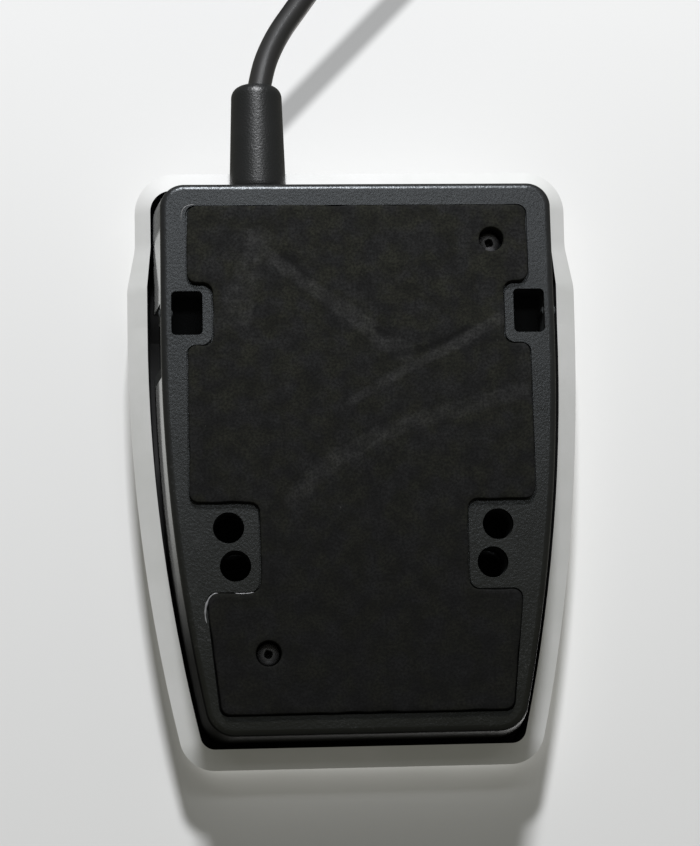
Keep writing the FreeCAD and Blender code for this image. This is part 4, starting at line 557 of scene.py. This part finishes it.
def rounded(corners, radius, steps=9):
    """Each corner becomes an arc: its two tangent points weigh 1, the corner the cosine of half its turn."""
    way_in = directions(corners - np.roll(corners, 1, 0))
    way_out = directions(np.roll(corners, -1, 0) - corners)
    half = np.arccos(np.clip((way_in * way_out).sum(1), -1, 1)) / 2
    reach = (radius * np.tan(half))[:, None, None]
    t = np.linspace(0, 1, steps)[None, :, None]
    weights = [(1 - t) ** 2, 2 * t * (1 - t) * np.cos(half)[:, None, None], t ** 2]
    corners = corners[:, None]
    places = [corners - way_in[:, None] * reach, corners, corners + way_out[:, None] * reach]
    return (sum(w * p for w, p in zip(weights, places)) / sum(weights)).reshape(-1, 2)


def evenly(outline, step):
    """Points at even steps along a closed outline."""
    closed = np.vstack([outline, outline[:1]])
    along = np.concatenate([[0], np.cumsum(np.linalg.norm(np.diff(closed, axis=0), axis=1))])
    places = np.linspace(0, along[-1], int(along[-1] / step), endpoint=False)
    return np.stack([np.interp(places, along, closed[:, k]) for k in (0, 1)], 1)


def outward(outline):
    """The outline's side directions, away from what it encloses when it runs anticlockwise."""
    way = directions(np.roll(outline, -1, 0) - np.roll(outline, 1, 0))
    return np.stack([way[:, 1], -way[:, 0]], 1)


pad_edge = evenly(rounded(PAD_CORNERS, PAD_CORNER), PAD_STEP)
turn_share = np.arange(len(pad_edge)) / len(pad_edge) * 2 * math.pi
waves = random.integers(9, 70, WANDER_WAVES)
phases = random.uniform(0, 6.3, WANDER_WAVES)
wander = np.sin(turn_share[:, None] * waves + phases) @ (WANDER_DEPTH / np.sqrt(waves / 9))
wander = np.clip(wander * WANDER_SHRINK[0] - WANDER_SHRINK[1], WANDER_IN, WANDER_OUT)
pad_edge = pad_edge + outward(pad_edge) * wander[:, None]
print("pad edge points", len(pad_edge), "wander", wander.min().round(2), wander.max().round(2))

# %% Scuffs on the pad
# Each mark: its line, its half width at the first and at the last point, and its strength.
SCUFFS = [
    ([(17.9, 37.1), (15.95, 34.4), (12.2, 30.95), (6.5, 26.7), (1.6, 23.4), (-4.1, 18.6), (-7.4, 16.6)],
     0.85, 2.1, 0.95),
    ([(-24.6, 22.85), (-23.4, 22.2), (-16.6, 18.2), (-9.85, 14.9), (-3.1, 11.4), (1.9, 8.3)],
     1.25, 0.8, 1.0),
    ([(11.6, -7.8), (8.7, -4.5), (3.7, -0.5), (-2.9, 2.8), (-9.6, 5.2), (-16.3, 7.1), (-23.0, 8.9),
      (-28.4, 10.3)], 1.9, 1.6, 0.8),
    ([(-9.4, -0.15), (-15.1, -2.9), (-16.7, -4.9)], 0.4, 0.5, 0.45),
    ([(16.4, 36.2), (17.7, 32.4), (19.3, 27.7), (20.4, 23.0)], 2.6, 3.2, 0.7),
]
DARK_MARKS = [
    ([(-5.2, 16.1), (-8.3, 16.5), (-11.4, 17.5), (-14.8, 18.9), (-18.2, 20.7)], 0.6, 0.5, 0.8),
    ([(-3.1, 20.4), (-5.1, 19.4)], 0.75, 0.55, 1.0),
    ([(12.2, 33.1), (10.2, 31.3), (8.5, 29.3)], 0.9, 0.6, 0.6),
]


def from_line(points, line, first, last):
    """Distance from each point to the line, counted in the line's half width, which changes along it."""
    a, b = np.array(line[:-1]), np.array(line[1:])
    run = b - a
    share = (((points[:, None] - a) * run).sum(2) / (run * run).sum(1)).clip(0, 1)
    away = np.linalg.norm(points[:, None] - (a + share[:, :, None] * run), axis=2)
    nearest = away.argmin(1)
    rows = np.arange(len(points))
    place = (nearest + share[rows, nearest]) / len(run)
    return away[rows, nearest] / (first + (last - first) * place)


def marks(points, lines):
    """The strongest mark at each point; a mark falls off as a bell with a flat top."""
    return np.max([strength * np.exp(-from_line(points, line, first, last) ** 4)
                   for line, first, last, strength in lines], axis=0)


print("scuffs", len(SCUFFS), "dark marks", len(DARK_MARKS))

# %% Helpers that fill an outline and join a piece
def inside(points, loop):
    """A point is inside where a ray towards +X crosses the loop an odd number of times."""
    a, b = loop, np.roll(loop, -1, 0)
    x, y = points[:, :1], points[:, 1:]
    crosses = (a[:, 1] > y) != (b[:, 1] > y)
    rise = np.where(a[:, 1] == b[:, 1], 1, b[:, 1] - a[:, 1])
    at = a[:, 0] + (y - a[:, 1]) * (b[:, 0] - a[:, 0]) / rise
    return (crosses & (x < at)).sum(1) % 2 == 1


def fill(loops, inner):
    """Triangles between the first loop and the others, through the inner points."""
    points = np.vstack([*loops, inner])
    starts = np.cumsum([0] + [len(loop) for loop in loops])
    edges = [(start + i, start + (i + 1) % len(loop))
             for start, loop in zip(starts, loops) for i in range(len(loop))]
    found = delaunay_2d_cdt([Vector(p) for p in points], edges, [], 0, 1e-6)
    flat, faces = np.array(found[0]), np.array(found[2])
    middle = flat[faces].mean(1)
    keep = inside(middle, loops[0])
    for hole in loops[1:]:
        keep &= ~inside(middle, hole)
    return flat, faces[keep]


def ring_faces(rings, sides):
    """Quads between closed rings: a point, the next one round, and the same two on the ring after."""
    i, j = np.meshgrid(np.arange(rings - 1), np.arange(sides), indexing="ij")
    after = (j + 1) % sides
    quads = [i * sides + j, i * sides + after, (i + 1) * sides + after, (i + 1) * sides + j]
    return np.stack(quads, -1).reshape(-1, 4)


def all_round(steps):
    """Angles at even steps round a circle."""
    return np.linspace(0, 2 * math.pi, steps, endpoint=False)


def mesh_piece(name, parts, attributes=None):
    """Joins (points, faces) pairs in millimetres, merges their seams and turns their faces outwards."""
    points = np.vstack([p for p, _ in parts]) * MM
    starts = np.cumsum([0] + [len(p) for p, _ in parts])
    faces = [tuple(face) for (_, f), start in zip(parts, starts) for face in (f + start).tolist()]
    mesh = bpy.data.meshes.new(name)
    mesh.from_pydata(points.tolist(), [], faces)
    work = bmesh.new()
    work.from_mesh(mesh)
    bmesh.ops.remove_doubles(work, verts=work.verts, dist=2e-6)
    bmesh.ops.recalc_face_normals(work, faces=work.faces)
    work.to_mesh(mesh)
    work.free()
    mesh.polygons.foreach_set("use_smooth", np.full(len(mesh.polygons), True))
    places = np.empty(len(mesh.vertices) * 3)
    mesh.vertices.foreach_get("co", places)
    places = places.reshape(-1, 3) / MM
    for key, values in (attributes or {}).items():
        layer = mesh.attributes.new(key, "FLOAT", "POINT")
        layer.data.foreach_set("value", values(places))
    made = bpy.data.objects.new(name, mesh)
    scene.collection.objects.link(made)
    print(name, len(mesh.vertices), "points", len(mesh.polygons), "faces")
    return made


# %% Points of the pad's face
RINGS = [(0, PAD_THICKNESS), (0, 1.1), (0, 0.3), (0.03, 0.14), (0.1, 0.04), (0.22, 0.0)]
FACE_INSET = RINGS[-1][0]
SPACING, ROW_SHARE, JITTER, EDGE_CLEAR = 0.72, 0.866, 0.12, 0.4
hole_steps = all_round(48)
circle = np.stack([np.cos(hole_steps), np.sin(hole_steps)], 1)
loops = [pad_edge, *[spot + PAD_HOLE * circle for spot in PAD_HOLES]]
ways = [outward(pad_edge), *[-(hole - spot) / PAD_HOLE for hole, spot in zip(loops[1:], PAD_HOLES)]]
face_loops = [loop - way * FACE_INSET for loop, way in zip(loops, ways)]
face_edge = np.vstack(face_loops)


def to_edge(points):
    """The distance from each point to the nearest point on the face's edge."""
    return np.array([np.linalg.norm(face_edge - point, axis=1).min() for point in points])


along_rows, across_rows = np.arange(-43, 43, SPACING * ROW_SHARE), np.arange(-30, 30, SPACING)
rows, columns = np.meshgrid(along_rows, across_rows, indexing="ij")
shift = (np.arange(len(rows)) % 2)[:, None] * SPACING / 2
inner = np.stack([columns + shift, rows], -1).reshape(-1, 2)
inner = inner + random.uniform(-JITTER, JITTER, (rows.size, 2))
inner = inner[inside(inner, face_loops[0]) & (to_edge(inner) > EDGE_CLEAR)]
inner = inner[~inside(inner, face_loops[1]) & ~inside(inner, face_loops[2])]
print("inner points", len(inner))

# %% Cut the pad
SHEET_WAVE, DARK_DENT, SCUFF_DENT = 0.035, 0.05, 0.03
FACE_DEPTH = 0.4


def relief(points):
    """Shallow waves of a hand-pressed sheet, plus dents under the scuffs; nothing rises above the face."""
    x, y = points[:, 0], points[:, 1]
    waves = np.sin(x * 0.41 + 1.3 * np.sin(y * 0.13)) * np.sin(y * 0.37 + 0.9 * np.sin(x * 0.17))
    fade = np.clip((to_edge(points) - 0.05) / 1.2, 0, 1)
    dents = DARK_DENT * marks(points, DARK_MARKS) + SCUFF_DENT * marks(points, SCUFFS)
    return (SHEET_WAVE + SHEET_WAVE * waves + dents) * fade


def side_rings(loop, way):
    """The loop carried over the rings, each with its inset and its height."""
    points = [np.column_stack([loop - way * inset, np.full(len(loop), high)]) for inset, high in RINGS]
    return np.vstack(points), ring_faces(len(RINGS), len(loop))


flat, front_faces = fill(face_loops, inner)
front = np.column_stack([flat, relief(flat)])
back_flat, back_faces = fill(loops, np.zeros((0, 2)))
back = np.column_stack([back_flat, np.full(len(back_flat), PAD_THICKNESS)])
walls = [side_rings(loop, way) for loop, way in zip(loops, ways)]
pad = mesh_piece("foam_pad", [(front, front_faces), (back, back_faces), *walls],
                 {"scuff": lambda p: marks(p[:, :2], SCUFFS) * (p[:, 2] < FACE_DEPTH),
                  "dark": lambda p: marks(p[:, :2], DARK_MARKS) * (p[:, 2] < FACE_DEPTH)})

# %% [markdown]
# ## Foam rubber
#
# Up close the foam shows open pores, clouds of a few millimetres and some lint, and a painted sheen makes it
# paler towards the rear. The strength of each scuff is stored on the mesh's points, so the shader reads it as
# an attribute, and a ragged noise breaks the scuff up.

# %% Finish of the pad
def foam_finish():
    """Olive and neutral clouds, fine open pores, scuffs and a little lint; paler to the rear as painted
    sheen.
    """
    finish = Finish("pad_foam", specular_ior_level=0.14)
    cloud = finish.noise(300.0, 3.0, 0.6)
    tint = finish.noise(240.0, 2.0, 0.5, offset=(0.4, 0.2, 0.1))
    pores = finish.noise(2300.0, 3.0, 0.65)
    lint = finish.noise(950.0, 2.0, 0.5, offset=(0.1, 0.7, 0.3))
    ragged = finish.noise(650.0, 4.0, 0.7)
    rubbed = (finish.attribute("scuff") + (ragged - 0.5) * 0.5).ramp(0.25, 0.95)
    rubbed = rubbed * (ragged.ramp(0.3, 0.7) * 0.5 + 0.6)
    dented = finish.attribute("dark")
    base = finish.blend(tint.ramp(0.38, 0.62), (0.0084, 0.0086, 0.0062), (0.0079, 0.008, 0.008))
    # Painted sheen: the foam gets paler towards the rear.
    rear_sheen = finish.axis("Y").ramp_mm(-48, 52)
    mottle = (cloud.ramp(0.3, 0.7) * 0.9 + 0.55) * (pores.ramp(0.3, 0.7) * 1.1 + 0.45)
    level = (rear_sheen * 0.85 + 0.40) * mottle * (1 - dented * 0.85)
    shade = finish.blend(rubbed * 0.55, base, (0.019, 0.019, 0.0185))
    levelled = finish.node("ShaderNodeVectorMath", {"operation": "SCALE"}, {0: shade, 3: level})
    finish.set("Base Color", finish.blend(lint.ramp(0.76, 0.80) * 0.3, levelled, (0.1, 0.1, 0.09)))
    finish.set("Roughness", 0.72 + cloud * 0.12 - rubbed * 0.12)
    finish.set("Normal", finish.bump(pores + cloud * 0.5, 0.7, 0.06 * MM))
    return finish.material


pad.data.materials.append(foam_finish())
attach(pad, "base")
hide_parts("nonslip_pad")

# %% [markdown]
# ## Painted highlights at the pad's corners
#
# The pad is glued into its recess. At two corners a thin pale thread lies along the recess's edge: a painted
# highlight where that edge catches the light. Each is a tube along a short curved path, with a radius that
# shrinks to nothing at both ends.

# %% Lay the painted highlights
# Each thread: its path, its height and its radius.
PAINTED_GLINTS = [
    ([(29.31, 39.2), (29.22, 40.5), (29.0, 41.3), (28.46, 41.8), (27.8, 42.04), (26.9, 42.15)],
     1.02, 0.09),
    ([(25.80, -27.6), (25.97, -26.3), (26.0, -25.1), (25.6, -23.8), (24.8, -22.95), (23.9, -22.7)],
     0.85, 0.18),
    ([(21.2, -22.72), (20.2, -22.86), (19.2, -22.84), (18.1, -22.62)], 0.85, 0.15),
]


def bead(path, high, radius, steps=60, sides=12):
    """A circle round each point of the path; its radius is the root of a half sine, with lumps."""
    path = np.array(path)
    share = np.linspace(0, 1, len(path))
    t = np.linspace(0, 1, steps)
    curve = np.stack([np.polyval(np.polyfit(share, path[:, k], 3), t) for k in (0, 1)], 1)
    way = directions(np.gradient(curve, axis=0))
    across = np.stack([way[:, 1], -way[:, 0]], 1)
    lumps = 1 + 0.25 * np.sin(t * 23) * np.sin(t * 9)
    size = radius * np.sqrt(np.sin(math.pi * t).clip(0)) * lumps
    angle = all_round(sides)
    level = curve[:, None] + across[:, None] * (size[:, None] * np.cos(angle))[..., None]
    up = high - size[:, None] * np.sin(angle)
    points = np.concatenate([level, up[..., None]], -1).reshape(-1, 3)
    return points, ring_faces(steps, sides)


# Painted highlight: pale threads along the recess's edge at two of the pad's corners.
painted_glints = mesh_piece("painted_glint_threads", [bead(*glint) for glint in PAINTED_GLINTS])
painted_glints.data.materials.append(moulded("painted_glint_pale", (0.2, 0.2, 0.205), 0.3, grain=3000.0, grain_depth=0.004))
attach(painted_glints, "base")

# %% [markdown]
# ## Return springs
#
# Two steel springs push the pedal up. They are shut in between their cups and the pedal's seats, and they
# get shorter when the pedal is pressed. A imported solid is rigid, so the scene winds its own: a circle is
# carried along a helix.

# %% Wind the springs
SPRING_SPOTS = {"left": (9.0, -26.0), "right": (-9.0, -26.0)}
SPRING_MEAN, SPRING_WIRE, SPRING_TURNS = 3.35, 0.45, 6.0
SPRING_SEAT, SPRING_TOP, SPRING_KEEP = 8.0, 23.1, 0.788
SPRING_GAP, END_TURN_RISE = 0.03, 3.1 * SPRING_WIRE


def winding(spot, steps=300, sides=12):
    """A circle carried along a winding, closed in a point at each end; the two end turns rise less."""
    turn = np.linspace(0, SPRING_TURNS, steps)[[0, *range(steps), -1]]
    size = np.full(steps + 2, SPRING_WIRE)
    size[[0, -1]] = 0.0
    low, high = SPRING_SEAT + SPRING_WIRE + SPRING_GAP, SPRING_TOP - SPRING_WIRE - SPRING_GAP
    stations = [0, 1, SPRING_TURNS - 1, SPRING_TURNS]
    rise = np.interp(turn, stations, [low, low + END_TURN_RISE, high - END_TURN_RISE, high])
    in_ends = abs(turn - SPRING_TURNS / 2) > SPRING_TURNS / 2 - 1
    slope = np.where(in_ends, END_TURN_RISE, (high - low - 2 * END_TURN_RISE) / (SPRING_TURNS - 2))
    angle = 2 * math.pi * turn
    out = np.column_stack([np.cos(angle), np.sin(angle), np.zeros(steps + 2)])
    path = np.array([*spot, 0.0]) + out * SPRING_MEAN + np.outer(rise, [0, 0, 1])
    turning = out[:, [1, 0]] * [-SPRING_MEAN, SPRING_MEAN]
    way = directions(np.column_stack([turning, slope / (2 * math.pi)]))
    up = np.cross(out, way)
    around = all_round(sides)[None, :, None]
    circles = out[:, None] * np.cos(around) + up[:, None] * np.sin(around)
    points = path[:, None] + size[:, None, None] * circles
    return points.reshape(-1, 3), ring_faces(steps + 2, sides)


for side, spot in SPRING_SPOTS.items():
    spring = mesh_piece(f"wound_spring_{side}", [winding(spot)])
    spring.data.materials.append(FINISHES["steel"])
    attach(spring, "base")
    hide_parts(f"spring_{side}")
    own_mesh(spring)

# %% [markdown]
# ## Case screws
#
# Two thread-forming screws hold the case halves together. Seen from outside, each is a small pan head deep
# in a hole, with a dark driver recess. The screw is one grid of (ring, angle): the rings climb the shank's
# thread, go over the head and down into a recess with four lobes, and both ends close in a point.

# %% Make the screws
SCREW_SEAT, SCREW_TOP, SCREW_TIP = 4.7, 2.9, 14.2
SCREW_HEAD, SCREW_SHANK = 1.9, 1.05
THREAD_DEPTH, THREAD_PITCH, THREAD_RINGS = 0.14, 0.8, 46
thread = np.linspace(SCREW_TIP - 0.9, SCREW_SEAT + 0.1, THREAD_RINGS)
crests = SCREW_SHANK + THREAD_DEPTH * np.abs(np.sin(thread * math.pi / THREAD_PITCH))
shank = np.column_stack([thread, crests, np.zeros(THREAD_RINGS)])
# Each ring: its height, its radius and its share of lobes.
SCREW_RINGS = np.vstack([
    [(SCREW_TIP, 0.0, 0), (SCREW_TIP - 0.05, 0.35, 0), (SCREW_TIP - 0.8, SCREW_SHANK - 0.1, 0)], shank,
    [(SCREW_SEAT, SCREW_SHANK, 0), (SCREW_SEAT, 1.84, 0), (SCREW_SEAT - 0.06, SCREW_HEAD, 0),
     (SCREW_SEAT - 0.9, SCREW_HEAD, 0), (SCREW_SEAT - 1.25, 1.8, 0), (SCREW_SEAT - 1.55, 1.55, 0),
     (SCREW_SEAT - 1.72, 1.2, 0), (SCREW_TOP, 0.86, 0.2), (SCREW_TOP + 0.05, 0.78, 0.8),
     (SCREW_TOP + 0.5, 0.66, 1.0), (SCREW_TOP + 1.0, 0.5, 1.0), (SCREW_TOP + 1.35, 0.25, 0.5),
     (SCREW_TOP + 1.45, 0.0, 0)],
])


def screw(spot, turn, steps=48):
    """Radius on an angle; in the recess it shrinks between four lobes by their share times sine squared."""
    angle = all_round(steps)
    high, radius, lobes = SCREW_RINGS[:, :1], SCREW_RINGS[:, 1:2], SCREW_RINGS[:, 2:]
    reach = radius * (1 - 0.42 * lobes * np.sin(2 * angle) ** 2)
    points = np.stack([spot[0] + reach * np.cos(angle + turn), spot[1] + reach * np.sin(angle + turn),
                       np.repeat(high, steps, 1)], -1).reshape(-1, 3)
    return points, ring_faces(len(SCREW_RINGS), steps)


def screw_finish():
    """Blackened steel, rubbed on the crown; the driver recess is painted near-black as its shade."""
    finish = Finish("screw_black")
    rubs = finish.noise(1500.0, 3.0, 0.6)
    crown = 1.0
    for spot in PAD_HOLES:
        away = from_spot(finish.axis("X"), finish.axis("Y"), spot)
        crown = away.ramp_mm(0.62, 0.8) * crown
    # Painted shade: the driver recess is near-black, the crown grey.
    finish.set("Base Color", finish.blend(crown, (0.003, 0.003, 0.003), (0.13, 0.13, 0.135)))
    finish.set("Roughness", 0.42 + rubs * 0.2 + (1 - crown) * 0.3)
    finish.set("Normal", finish.bump(rubs, 0.3, 0.02 * MM))
    return finish.material


screws = mesh_piece("driven_screws", [screw(spot, turn) for spot, turn in zip(PAD_HOLES, (0.5, 1.1))])
screws.data.materials.append(screw_finish())
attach(screws, "base")
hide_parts("case_screws")

# %% [markdown]
# ## Sleeve
#
# The strain relief is a turned rubber sleeve with a soft domed end. Its foot follows the sloping wall and a
# neck and a flange hold it in the wall. A profile of (place, radius) is turned about its axis; a shear that
# fades out along the sleeve lays the foot on the wall.

# %% Turn the sleeve
SLEEVE_X, SLEEVE_Z = 16.33, 6.6
WALL_REAR, WALL_FOOT, WALL_SLOPE = 45.7, 1.0, 0.9 / 12.0
SLEEVE_END, SLEEVE_DOME, SLEEVE_TIP = 64.05, 1.9, 4.33
LEAN_END = SLEEVE_END - 4
dome = np.radians(np.linspace(0, 84, 9))
body = np.linspace(46.6, SLEEVE_END - SLEEVE_DOME - 0.4, 14)
SLEEVE_PROFILE = np.vstack([
    [(41.9, 0.0), (41.9, 3.9), (42.05, 4.05), (43.3, 4.05), (43.45, 3.9), (43.45, 3.35), (45.25, 3.35),
     (45.65, 3.5), (45.66, 4.55), (45.72, 4.7), (45.95, 4.78)],
    np.column_stack([body, np.linspace(4.77, SLEEVE_TIP + 0.01, 14)]),
    np.column_stack([SLEEVE_END - SLEEVE_DOME * (1 - np.sin(dome)),
                     SLEEVE_TIP - SLEEVE_DOME * 0.95 * (1 - np.cos(dome))]),
    [(SLEEVE_END - 0.02, 2.25), (SLEEVE_END - 0.3, 2.12), (SLEEVE_END - 0.9, 2.05), (SLEEVE_END - 0.9, 0.0)],
])


def turned(profile, steps=72):
    """Radius times (cos, sin) of the angle across the axis; the place runs along Y."""
    angle = all_round(steps)
    place, radius = profile[:, :1], profile[:, 1:]
    x = SLEEVE_X + radius * np.cos(angle)
    z = SLEEVE_Z + radius * np.sin(angle)
    lean = np.clip((LEAN_END - place) / (LEAN_END - WALL_REAR), 0, 1)
    y = place + (z - WALL_FOOT) * WALL_SLOPE * lean
    return np.stack([x, y, z], -1).reshape(-1, 3), ring_faces(len(profile), steps)


sleeve = mesh_piece("sleeve", [turned(SLEEVE_PROFILE)])
sleeve.data.materials.append(sleeve_black)
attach(sleeve, "base")
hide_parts("strain_relief")

# %% [markdown]
# ## The cable in place
#
# The real cable is soft. Its spline rides the base in place of its three solids, which are hidden, and the
# strap and the plug's pieces are gathered in a list.

CABLE_END = ("cable_tie", "plug_overmould", "plug_shell", "plug_tongue", "plug_contacts")
cable_end = [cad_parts[name] for name in CABLE_END]
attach(cable, "base")
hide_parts("cable_run", "cable_coil", "cable_tail")

# %% [markdown]
# ## Table and floor
#
# In the photograph the switch lies on its pedal, so the table is the plane of the pedal's front slope, above
# the model. In the other views the switch stands on its pad. Both planes are cards that show one side only,
# and neither shades nor lights the switch, so each view keeps its own plain background.
#
# On the table lies the soft shadow of a stretch of cable outside the picture, where this model's cable is
# already coiled. So that shadow is a darker band in the table's finish: its tone depends on the distance
# from a straight line, and it fades out where the sleeve covers it.

# %% Lay the two cards
CABLE_SHADE_FROM, CABLE_SHADE_SIDE = (9.4, 68.81), (0.7306, 0.6827)
CABLE_SHADE_SHIFT, CABLE_SHADE_TONE = 0.42, 0.46
CABLE_SHADE_CORE, CABLE_SHADE_EDGE, CABLE_SHADE_END = 1.0, 3.3, (-9.0, -5.0)
CARD_FALLOFF_RUN = (-110, 110)


def cable_shade(paper):
    """1 in the band's core, 0 past its edge: the distance across its line, and a fade along it."""
    x = paper.axis("X") - CABLE_SHADE_FROM[0] * MM
    y = paper.axis("Y") - CABLE_SHADE_FROM[1] * MM
    across = abs(x * CABLE_SHADE_SIDE[0] + y * CABLE_SHADE_SIDE[1] - CABLE_SHADE_SHIFT * MM)
    along = y * CABLE_SHADE_SIDE[0] - x * CABLE_SHADE_SIDE[1]
    return (1 - across.ramp_mm(CABLE_SHADE_CORE, CABLE_SHADE_EDGE)) * along.ramp_mm(*CABLE_SHADE_END)


def card(name, corners, rear_colour, front_colour, shade=None):
    """A flat card seen from one side only: its back is see-through, and a painted fall-off of the light makes
    it a little darker in front.
    """
    mesh = bpy.data.meshes.new(name)
    mesh.from_pydata([(x * MM, y * MM, z * MM) for x, y, z in corners], [], [(0, 1, 2, 3)])
    made = bpy.data.objects.new(name, mesh)
    scene.collection.objects.link(made)
    paper = Finish(name)
    # Painted fall-off of the light: the card is a little darker towards the front.
    tone = paper.blend(paper.axis("Y").ramp_mm(*CARD_FALLOFF_RUN), front_colour, rear_colour)
    if shade:
        tone = paper.blend(shade(paper), tone, toned(rear_colour, CABLE_SHADE_TONE))
    paper.set("Base Color", tone)
    paper.set("Roughness", 0.9)
    paper.set("Specular IOR Level", 0.1)
    back = paper.node("ShaderNodeNewGeometry", output="Backfacing")
    paper.lay_over(back, paper.node("ShaderNodeBsdfTransparent"))
    mesh.materials.append(paper.material)
    made.visible_shadow = False
    made.visible_diffuse = False
    made.visible_glossy = False


SLOPE_START, SLOPE_LOW, SLOPE = -51.2, 24.1, 7.0 / 75.2
TABLE_REACH, FLOOR_REACH = 900.0, 2700.0
TABLE_TONES, FLOOR_TONE = ((0.755, 0.755, 0.75), (0.69, 0.69, 0.683)), (0.82, 0.82, 0.82)
table_corners = [(x * TABLE_REACH, y * TABLE_REACH, SLOPE_LOW + SLOPE * (y * TABLE_REACH - SLOPE_START))
                 for x, y in ((-1, -1), (-1, 1), (1, 1), (1, -1))]
floor_corners = [(x * FLOOR_REACH, y * FLOOR_REACH, 0.0) for x, y in ((-1, -1), (1, -1), (1, 1), (-1, 1))]
card("table", table_corners, *TABLE_TONES, cable_shade)
card("floor", floor_corners, FLOOR_TONE, FLOOR_TONE)
print("table", TABLE_REACH, "mm, floor", FLOOR_REACH, "mm each way")

# %% [markdown]
# ## Light
#
# One window-like lamp beyond the cable gives the long soft shadow in front of the pedal. A wide, low strip
# makes the sheen at the base's rear, and the surround fills the rest. A third lamp stands above the model for
# the views of its top. The coil lies where it would throw a shadow into the picture, so the cable and the
# pieces on its end block neither of the two lower lamps.

# %% Hang the lamps
LOOK_AT = (0, 0, 0.015)


def lamp(name, place, size, power, tint):
    """A rectangular lamp, sized in metres, that faces the model and isn't seen itself."""
    light = bpy.data.lights.new(name, "AREA")
    light.shape = "RECTANGLE"
    light.size, light.size_y = size
    light.energy = power
    light.color = tint
    made = bpy.data.objects.new(name, light)
    scene.collection.objects.link(made)
    made.location = place
    made.rotation_euler = (Vector(LOOK_AT) - Vector(place)).to_track_quat("-Z", "Y").to_euler()
    made.visible_camera = False
    return made


key = lamp("key", (0.025, 0.678, -0.588), (0.11, 0.11), 9.2, (0.965, 0.975, 1.0))
strip = lamp("strip", (0.0, 0.205, -0.564), (0.4, 0.06), 0.32, (0.94, 0.965, 1.0))
lamp("upper", (-0.5, -0.45, 1.1), (0.7, 0.7), 22.0, (1.0, 0.99, 0.97))


def let_through(light, pieces):
    """These pieces cast no shadow in this lamp's light."""
    free = bpy.data.collections.new(f"{light.name} passes")
    for piece in pieces:
        free.objects.link(piece)
    for member in free.collection_objects:
        member.light_linking.link_state = "EXCLUDE"
    light.light_linking.blocker_collection = free


for light in (key, strip):
    let_through(light, [cable, *cable_end])
print("lamps", key.name, strip.name, "and upper")

# %% [markdown]
# ## Surround
#
# The world is the light of the room: faint and a little warm on the object, but white where the camera
# sees it, so that the background stays plain.

# %% Light the surround
SURROUND_TINT, SURROUND_STRENGTH, SEEN_WHITE = (1.0, 0.985, 0.86, 1.0), 0.16, (0.9, 0.9, 0.9, 1.0)
world = bpy.data.worlds.new("world")
scene.world = world
world.use_nodes = True
sky = world.node_tree.nodes
sky_links = world.node_tree.links
surround = sky["Background"]
surround.inputs["Color"].default_value = SURROUND_TINT
surround.inputs["Strength"].default_value = SURROUND_STRENGTH
seen = sky.new("ShaderNodeBackground")
seen.inputs["Color"].default_value = SEEN_WHITE
seen.inputs["Strength"].default_value = 1.0
rays = sky.new("ShaderNodeLightPath")
mixed = sky.new("ShaderNodeMixShader")
sky_links.new(rays.outputs["Is Camera Ray"], mixed.inputs[0])
sky_links.new(surround.outputs[0], mixed.inputs[1])
sky_links.new(seen.outputs[0], mixed.inputs[2])
sky_links.new(mixed.outputs[0], sky["World Output"].inputs[0])
print("surround", SURROUND_STRENGTH)
